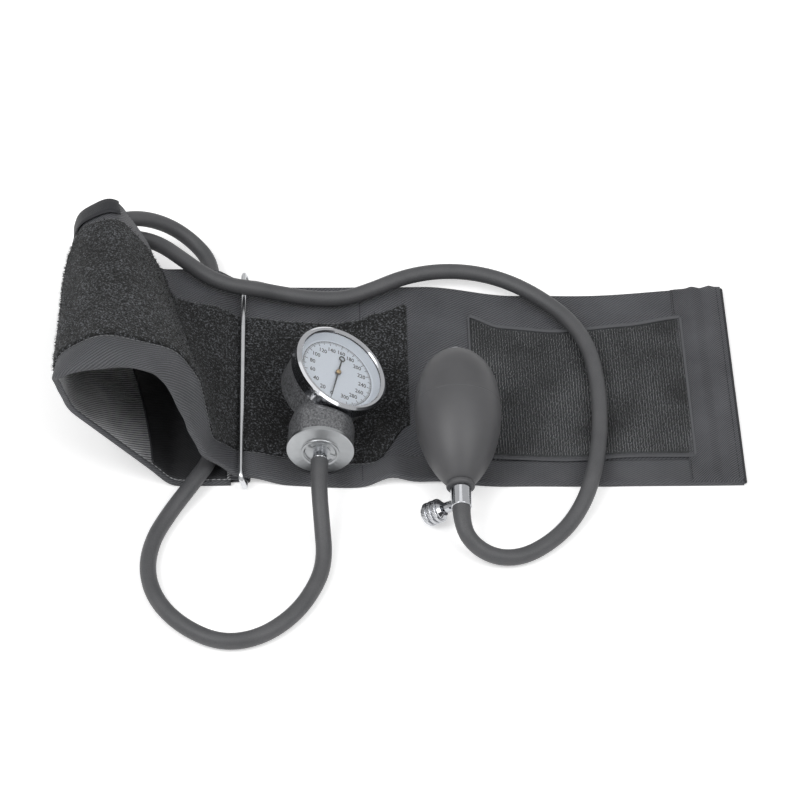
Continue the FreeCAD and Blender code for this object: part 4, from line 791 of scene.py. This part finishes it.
def rounded(outline, size=0.25, steps=3):
    """The outline with each corner replaced by a small arc: a quadratic curve that starts and ends
    size from the corner, or at 0.4 of a shorter side."""
    corners = np.array(outline, float)
    before, after = np.roll(corners, 1, axis=0) - corners, np.roll(corners, -1, axis=0) - corners
    lb, la = np.hypot(*before.T), np.hypot(*after.T)
    start = corners + before * (np.minimum(size, 0.4 * lb) / np.maximum(lb, 1e-9))[:, None]
    end = corners + after * (np.minimum(size, 0.4 * la) / np.maximum(la, 1e-9))[:, None]
    t = np.linspace(0, 1, steps + 1)[None, :, None]
    curve = start[:, None] * (1 - t) ** 2 + corners[:, None] * 2 * t * (1 - t) + end[:, None] * t * t
    return curve.reshape(-1, 2)


def curve_through(stops, count):
    """Smooth line through (height, radius) stops: a Catmull-Rom curve, evenly spread."""
    p = np.array(stops, float)
    p = np.vstack([2 * p[0] - p[1], p, 2 * p[-1] - p[-2]])
    s = np.linspace(0, len(stops) - 1 - 1e-9, count)
    k = s.astype(int)
    t = (s - k)[:, None]
    a, b, c, d = p[k], p[k + 1], p[k + 2], p[k + 3]
    return 0.5 * (2 * b + (c - a) * t + (2 * a - 5 * b + 4 * c - d) * t ** 2
                  + (3 * b - a - 3 * c + d) * t ** 3)


def bulb_surface(dark, light):
    """Matt PVC with a faint bloom: a soft change of grey over the bulb and a fine pebble."""
    def surface(m):
        place = add(m, "ShaderNodeTexCoord")
        bloom = add(m, "ShaderNodeTexNoise", {"Vector": (place, "Object"), "Scale": 35.0, "Detail": 3.0})
        pebble = add(m, "ShaderNodeTexNoise", {"Vector": (place, "Object"), "Scale": 1500.0, "Detail": 2.0})
        ramp = add(m, "ShaderNodeMapRange", {"Value": (bloom, "Fac"), "From Min": 0.35, "From Max": 0.65})
        colour = add(m, "ShaderNodeMix", {"Factor": (ramp, "Result"), 6: paint(dark), 7: paint(light)},
                     data_type="RGBA")
        relief = add(m, "ShaderNodeBump", {"Height": (pebble, "Fac"), "Strength": 0.10, "Distance": 0.0002})
        return {"Base_Color": (colour, 2), "Normal": (relief, "Normal")}
    return surface


bulb_pvc = finish_of("matt_grey_bulb_pvc", bulb_surface("4e4e50", "565658"), Roughness=0.48)
BULB_CENTRE, BULB_TILT, BOSS_DROP = np.array([29.2, -48.3, 29.1]), math.radians(9.0), math.radians(38.0)
bulb_way = np.array([0, -math.cos(BULB_TILT), -math.sin(BULB_TILT)])
bulb_top = np.array([0, -math.sin(BULB_TILT), math.cos(BULB_TILT)])
boss_way = np.array([-1.0, 0, 0]) * math.cos(BOSS_DROP) - bulb_top * math.sin(BOSS_DROP)
BULB_PLACE = placement(BULB_CENTRE, -boss_way, bulb_way)
BULB_OUTER = [(-38.3, 6.6), (-36.6, 10.0), (-33.0, 14.2), (-27.0, 18.6), (-19.0, 21.9), (-9.5, 23.6),
              (0, 24.0), (10.0, 23.4), (20.0, 21.4), (29.0, 18.3), (36.0, 14.9), (41.4, 11.4), (44.6, 8.9),
              (46.0, 7.1)]
LINE_AT = -3.0
skin = curve_through(BULB_OUTER, 300)
heights = np.unique(np.r_[np.linspace(-38.3, 46.0, 96), LINE_AT + np.linspace(-1.2, 1.2, 17)])
flash = (0.05 * np.exp(-((heights - LINE_AT - 0.35) / 0.3) ** 2)
         - 0.13 * np.exp(-((heights - LINE_AT) / 0.22) ** 2))
bulb_skin = np.stack([heights, np.interp(heights, skin[:, 0], skin[:, 1]) + flash], -1)
collar = rounded([(46.2, 7.1), (46.4, 7.9), (48.4, 7.9), (49.0, 7.3), (49.0, 4.7), (40.6, 4.7)], 0.4)
inside = [(39.0, 9.0), (34.4, 12.6), (27.8, 15.9), (19.0, 18.8), (9.5, 20.8), (0, 21.4), (-9.0, 21.0),
          (-18.0, 19.3), (-25.5, 16.2), (-31.0, 12.2), (-33.6, 8.6), (-34.2, 5.05), (-38.3, 5.05)]
bulb = lathe("squeeze_bulb", np.vstack([bulb_skin, collar, inside]), BULB_PLACE, bulb_pvc, around=160)
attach(bulb, BODY)
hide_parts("bulb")

# ---- valve and release knob --------------------------------------------------------------------------
# Chrome plated brass tube with a side boss. The release screw's knob has three knurled bands
# between plain dark grooves.
smooth_copy("valve_body", "valve_tube", chrome, BODY)
smooth_copy("release_spindle", "release_stem", chrome, "release_screw")
smooth_copy("intake_valve_housing", "intake_valve_cap", chrome, BODY)
KNOB_R, KNOB_FROM, KNOB_TO, KNURLS = 6.7, 11.8, 24.0, 48
BAND_LONG = (KNOB_TO - 0.6 - KNOB_FROM - 2.2) / 3
BOSS_ALONG = 57.5                  # from the bulb's middle to the boss
boss_at = BULB_CENTRE + bulb_way * BOSS_ALONG
KNOB_PLACE = placement(boss_at, bulb_way, boss_way)
knob_line = [(KNOB_FROM, 1.3), (KNOB_FROM, 3.9), (KNOB_FROM + 0.3, 4.2), (KNOB_FROM + 1.4, KNOB_R - 1.1),
             (KNOB_FROM + 2.2, KNOB_R - 1.1)]
knurled = [0.0] * 5
for band_at in range(3):
    start = KNOB_FROM + 2.2 + band_at * BAND_LONG
    end = start + BAND_LONG - 0.8
    knob_line += [(start + 0.02, KNOB_R - 0.5), (start + 0.35, KNOB_R), (end - 0.35, KNOB_R),
                  (end, KNOB_R - 0.5), (end + 0.04, KNOB_R - 1.1), (start + BAND_LONG - 0.04, KNOB_R - 1.1)]
    knurled += [0.5, 1.0, 1.0, 0.5, 0.0, 0.0]
knob_line = knob_line[:-1] + [(KNOB_TO - 0.3, KNOB_R - 1.3), (KNOB_TO, KNOB_R - 1.8), (KNOB_TO, 0.15),
                              (20.1, 0.15), (20.1, 1.3)]
knurled = knurled[:-1] + [0.0] * 5
origin, x, y, z = KNOB_PLACE
height, radius = np.array(knob_line).T
AROUND = KNURLS * 6
angle = np.arange(AROUND) * 2 * math.pi / AROUND
cut = 0.15 * np.abs(np.sin(angle * KNURLS / 2)) ** 1.5
reach = radius[None, :] - np.array(knurled)[None, :] * cut[:, None]
spoke = x * np.cos(angle)[:, None] + y * np.sin(angle)[:, None]
knob_points = origin + spoke[:, None] * reach[..., None] + z * height[None, :, None]
knob = mesh_piece("release_knob_grip", knob_points.reshape(-1, 3),
                  cells(AROUND, len(knob_line), True, True), chrome)
knob.data.set_sharp_from_angle(angle=math.radians(28))
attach(knob, "release_screw")
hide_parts("release_knob")

# ---- gauge head --------------------------------------------------------------------------------
# Die-cast aluminium cup and barrel in one piece, sprayed with grey hammered enamel that pulls into
# small pools. A spun chrome bezel snaps over its rim and holds the glass.
def hammered_surface(dark, light, pool_mm):
    """Hammered enamel: rounded pools with darker seams between them, over metal flake."""
    def surface(m):
        place = add(m, "ShaderNodeTexCoord")
        pool = add(m, "ShaderNodeTexVoronoi", {"Vector": (place, "Object"), "Scale": 1000.0 / pool_mm},
                   feature="SMOOTH_F1")
        flake = add(m, "ShaderNodeTexNoise", {"Vector": (place, "Object"), "Scale": 600.0, "Detail": 3.0})
        both = add(m, "ShaderNodeMath", {0: (flake, "Fac"), 1: 0.8, 2: (pool, "Distance")},
                   operation="MULTIPLY_ADD")
        ramp = add(m, "ShaderNodeMapRange", {"Value": (both, "Value"), "From Min": 0.45, "From Max": 1.1})
        colour = add(m, "ShaderNodeMix", {"Factor": (ramp, "Result"), 6: paint(light), 7: paint(dark)},
                     data_type="RGBA")
        relief = add(m, "ShaderNodeBump", {"Height": (both, "Value"), "Strength": 0.35, "Distance": 0.0003},
                     invert=True)
        return {"Base_Color": (colour, 2), "Normal": (relief, "Normal")}
    return surface


enamel = finish_of("hammered_grey_enamel", hammered_surface("505153", "86878a", 0.9), Roughness=0.42,
                   Metallic=0.3, Coat_Weight=0.3, Coat_Roughness=0.2)
smooth_copy("gauge_case", "gauge_case_casting", enamel, BODY, sharp=40)
smooth_copy("bezel", "gauge_bezel", chrome, BODY, sharp=24)
smooth_copy("base_cap", "gauge_base_disc", satin, BODY, sharp=24)
smooth_copy("gauge_nozzle", "gauge_hose_nozzle", chrome, BODY, sharp=24)

# ---- dial, pointer and glass ---------------------------------------------------------------------
# White painted aluminium dial with black print: a circle, its graduations and upright numbers. The
# pointer is blackened steel on a brass hub.
face_paint = finish_of("pale_dial_enamel", lambda m: {}, Base_Color=paint("ccd3dc"), Roughness=0.35)
print_black = finish_of("black_dial_print", lambda m: {}, Base_Color=paint("1a1c20"), Roughness=0.5)
pointer_black = finish_of("blackened_steel_pointer", lambda m: {}, Base_Color=paint("15161a"), Roughness=0.4)
hub_brass = finish_of("turned_brass_hub", lambda m: {}, Base_Color=paint("a08860"), Roughness=0.35,
                      Metallic=1.0)
glass = finish_of("flat_clear_glass", lambda m: {}, Base_Color=paint("ffffff"), Roughness=0.0, IOR=1.45,
                  Transmission_Weight=1.0)
HEAD_AT = np.array([-44.7925, -24.263, 23.45])
HEAD_X, HEAD_Y = np.array([0.864839, -0.045324, -0.5]), np.array([0.052336, 0.99863, 0.0])
HEAD_Z = np.cross(HEAD_X, HEAD_Y)
PRINT_LOW, PRINT_HIGH, PRINT_R = 14.46, 14.56, 21.6
NUMBER_R, NUMBER_TALL, NUMBER_SQUEEZE = 15.9, 2.6, 0.92
ZERO, PER_UNIT = math.radians(190.0), math.radians(330.0) / 300.0


def on_dial(across, towards_top, height):
    """Places on the gauge head from its own right, top and height."""
    across, towards_top, height = np.broadcast_arrays(across, towards_top, height)
    return HEAD_AT + across[..., None] * HEAD_X + towards_top[..., None] * HEAD_Y + height[..., None] * HEAD_Z


def dial_bars(angles, inner, outer, width):
    """Closed box for each radial line of the print: angles are clockwise from the dial's top."""
    angles, inner, outer, width = np.broadcast_arrays(angles, inner, outer, width)
    way = np.stack([np.sin(angles), np.cos(angles)], -1)
    side = np.stack([way[:, 1], -way[:, 0]], -1) * (width / 2)[:, None]
    flat = np.stack([way * inner[:, None] - side, way * inner[:, None] + side,
                     way * outer[:, None] + side, way * outer[:, None] - side], 1)
    points = np.concatenate([on_dial(flat[..., 0], flat[..., 1], h) for h in (PRINT_LOW, PRINT_HIGH)], 1)
    box = np.array([(3, 2, 1, 0), (4, 5, 6, 7), (1, 5, 4, 0), (2, 6, 5, 1), (3, 7, 6, 2), (0, 4, 7, 3)])
    faces = (np.arange(len(angles))[:, None, None] * 8 + box).reshape(-1, 4)
    return points.reshape(-1, 3), faces.tolist()


def printed_number(text, across, towards_top):
    """Points and faces of a thin raised number, centred at a place on the dial."""
    letters = bpy.data.curves.new("number", "FONT")
    letters.body, letters.size = text, NUMBER_TALL / 0.70
    letters.align_x, letters.align_y = "CENTER", "CENTER"
    letters.resolution_u = 3
    letters.offset = 0.05
    letters.extrude = 0.05
    holder = bpy.data.objects.new("number", letters)
    bpy.context.scene.collection.objects.link(holder)
    mesh = bpy.data.meshes.new_from_object(holder.evaluated_get(bpy.context.evaluated_depsgraph_get()))
    bpy.data.objects.remove(holder)
    flat = np.empty(len(mesh.vertices) * 3)
    mesh.vertices.foreach_get("co", flat)
    flat = flat.reshape(-1, 3)
    faces = [list(p.vertices) for p in mesh.polygons]
    bpy.data.meshes.remove(mesh)
    middle = (PRINT_LOW + PRINT_HIGH) / 2
    return on_dial(flat[:, 0] * NUMBER_SQUEEZE + across, flat[:, 1] + towards_top, flat[:, 2] + middle), faces


values = np.arange(0, 301, 2)
major, mid = values % 20 == 0, values % 10 == 0
marks = [dial_bars(ZERO + values * PER_UNIT, PRINT_R - np.where(major, 2.6, np.where(mid, 2.0, 1.2)),
                   PRINT_R + 0.05, np.where(mid, 0.34, 0.20))]
CIRCLE_PLACES, CIRCLE_HALF = 180, 0.16
steps = np.linspace(0, 2 * math.pi, CIRCLE_PLACES + 1)[:-1]
circle = np.stack([on_dial(r * np.sin(steps), r * np.cos(steps), h)
                   for r, h in ((PRINT_R - CIRCLE_HALF, PRINT_LOW), (PRINT_R - CIRCLE_HALF, PRINT_HIGH),
                                (PRINT_R + CIRCLE_HALF, PRINT_HIGH), (PRINT_R + CIRCLE_HALF, PRINT_LOW))], 1)
marks.append((circle.reshape(-1, 3), cells(CIRCLE_PLACES, 4, True, True)))
for value in range(0, 301, 20):
    at = ZERO + value * PER_UNIT
    marks.append(printed_number(str(value), NUMBER_R * math.sin(at), NUMBER_R * math.cos(at)))
points, faces = [], []
for place, corners in marks:
    shift = sum(len(p) for p in points)
    points.append(place)
    faces += [[c + shift for c in face] for face in corners]
dial_marks = mesh_piece("dial_marks", np.vstack(points), faces, print_black, smooth=False)
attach(dial_marks, BODY)
smooth_copy("dial", "dial_face", face_paint, BODY)
smooth_copy("dial_ring", "dial_rim_ring", face_paint, BODY, sharp=30)
smooth_copy("pointer", "pointer_needle", pointer_black, "needle")
smooth_copy("hub_cap", "pointer_hub", hub_brass, "needle")
smooth_copy("lens", "gauge_glass", glass, BODY)

# ---- parts inside ----------------------------------------------------------------------------------
# These are hidden when the object is whole: they keep their solids and get their real finishes.
seal_rubber = finish_of("black_nitrile_seal", lambda m: {}, Base_Color=paint("1c1c1d"), Roughness=0.6)
latex = finish_of("black_bladder_rubber", lambda m: {}, Base_Color=paint("242425"), Roughness=0.6)
fleece = finish_of("needled_fleece", lambda m: {}, Base_Color=paint("8b8b88"), Roughness=0.95)
brass = finish_of("machined_brass", lambda m: {}, Base_Color=paint("c8a862"), Roughness=0.3, Metallic=1.0)
bronze = finish_of("spring_bronze", lambda m: {}, Base_Color=paint("b07a4a"), Roughness=0.3, Metallic=1.0)
steel = finish_of("turned_steel", lambda m: {}, Base_Color=paint("b9babd"), Roughness=0.3, Metallic=1.0)
copper = finish_of("beryllium_copper_capsule", lambda m: {}, Base_Color=paint("c08a5e"), Roughness=0.35,
                   Metallic=1.0)
acetal = finish_of("white_acetal", lambda m: {}, Base_Color=paint("dddcd6"), Roughness=0.5)
INSIDE = {"bladder": latex, "cuff_interlining": fleece, "intake_filter_screen": steel,
          "intake_valve_disc": seal_rubber, "outlet_valve_seat": seal_rubber,
          "outlet_valve_ball": steel, "outlet_ball_cage": acetal,
          "spindle_seal": seal_rubber, "base_cap_seal": seal_rubber, "lens_gasket": seal_rubber,
          "pinion_arbor": steel, "sector_gear": brass, "rocker_shaft": steel, "capsule_post": steel,
          "diaphragm_capsule": copper, "movement_base_plate": brass, "movement_top_plate": brass,
          "movement_pillars": brass, "movement_screws": steel, "base_plate_screws": steel,
          "hairspring": bronze, "rocker_bearings": brass}
for node, finish in INSIDE.items():
    inner = bpy.data.objects[node]
    inner.data.materials.clear()
    inner.data.materials.append(finish)

# ---- table and lights --------------------------------------------------------------------------------
# A white board in white air, with a soft lamp on each side of the camera and a weaker one overhead.
# The camera and glass see white round the object.
world = bpy.data.worlds.new("studio_air")
world.use_nodes = True
world.node_tree.nodes.clear()
path = add(world, "ShaderNodeLightPath")
level = add(world, "ShaderNodeMath", {0: (path, "Is Glossy Ray"), 1: 0.4, 2: 0.3}, operation="MULTIPLY_ADD")
dim = add(world, "ShaderNodeBackground", {"Color": paint("ffffff"), "Strength": (level, "Value")})
white = add(world, "ShaderNodeBackground", {"Color": paint("ffffff"), "Strength": 1.0})
seen = add(world, "ShaderNodeMath", {0: (path, "Is Camera Ray"), 1: (path, "Is Transmission Ray")},
           operation="MAXIMUM")
mixed = add(world, "ShaderNodeMixShader", {"Fac": (seen, "Value"), 1: (dim, "Background"),
                                           2: (white, "Background")})
add(world, "ShaderNodeOutputWorld", {"Surface": (mixed, "Shader")})
bpy.context.scene.world = world


def table_surface(lift):
    """White board. The camera, mirrors and glass see it a little brighter than it is lit, which
    makes it plain white and leaves the object's shadow on it."""
    def surface(m):
        path = add(m, "ShaderNodeLightPath")
        mirror = add(m, "ShaderNodeMath", {0: (path, "Is Camera Ray"), 1: (path, "Is Glossy Ray")},
                     operation="MAXIMUM")
        seen = add(m, "ShaderNodeMath", {0: (mirror, "Value"), 1: (path, "Is Transmission Ray")},
                   operation="MAXIMUM")
        glow = add(m, "ShaderNodeMath", {0: (seen, "Value"), 1: lift}, operation="MULTIPLY")
        return {"Emission_Strength": (glow, "Value")}
    return surface


table_white = finish_of("white_table", table_surface(0.38), Base_Color=paint("fdfdfd"), Roughness=0.9,
                        Emission_Color=paint("ffffff"))
table = mesh_piece("table_top", [(-3000, -3000, 0), (3000, -3000, 0), (3000, 3000, 0), (-3000, 3000, 0)],
                   [(0, 1, 2, 3)], table_white, smooth=False)


def lamp(name, place, aim_at, size, watts):
    """Square soft lamp at place, in metres, facing aim_at."""
    light = bpy.data.lights.new(name, "AREA")
    light.shape, light.size, light.energy = "SQUARE", size, watts
    holder = bpy.data.objects.new(name, light)
    look = Vector(aim_at) - Vector(place)
    turn = look.to_track_quat("-Z", "Y").to_matrix().to_4x4()
    holder.matrix_world = Matrix.Translation(Vector(place)) @ turn
    bpy.context.scene.collection.objects.link(holder)
    return holder


lamp("soft_right_lamp", (0.9, -0.75, 1.4), (0, 0, 0.02), 0.9, 9.2)
lamp("soft_left_lamp", (-1.0, -0.65, 1.5), (0, 0, 0.02), 0.9, 13)
lamp("soft_top_lamp", (-0.1, -0.1, 1.7), (0, 0, 0), 1.6, 5.5)
bpy.context.scene.view_settings.view_transform = "Standard"
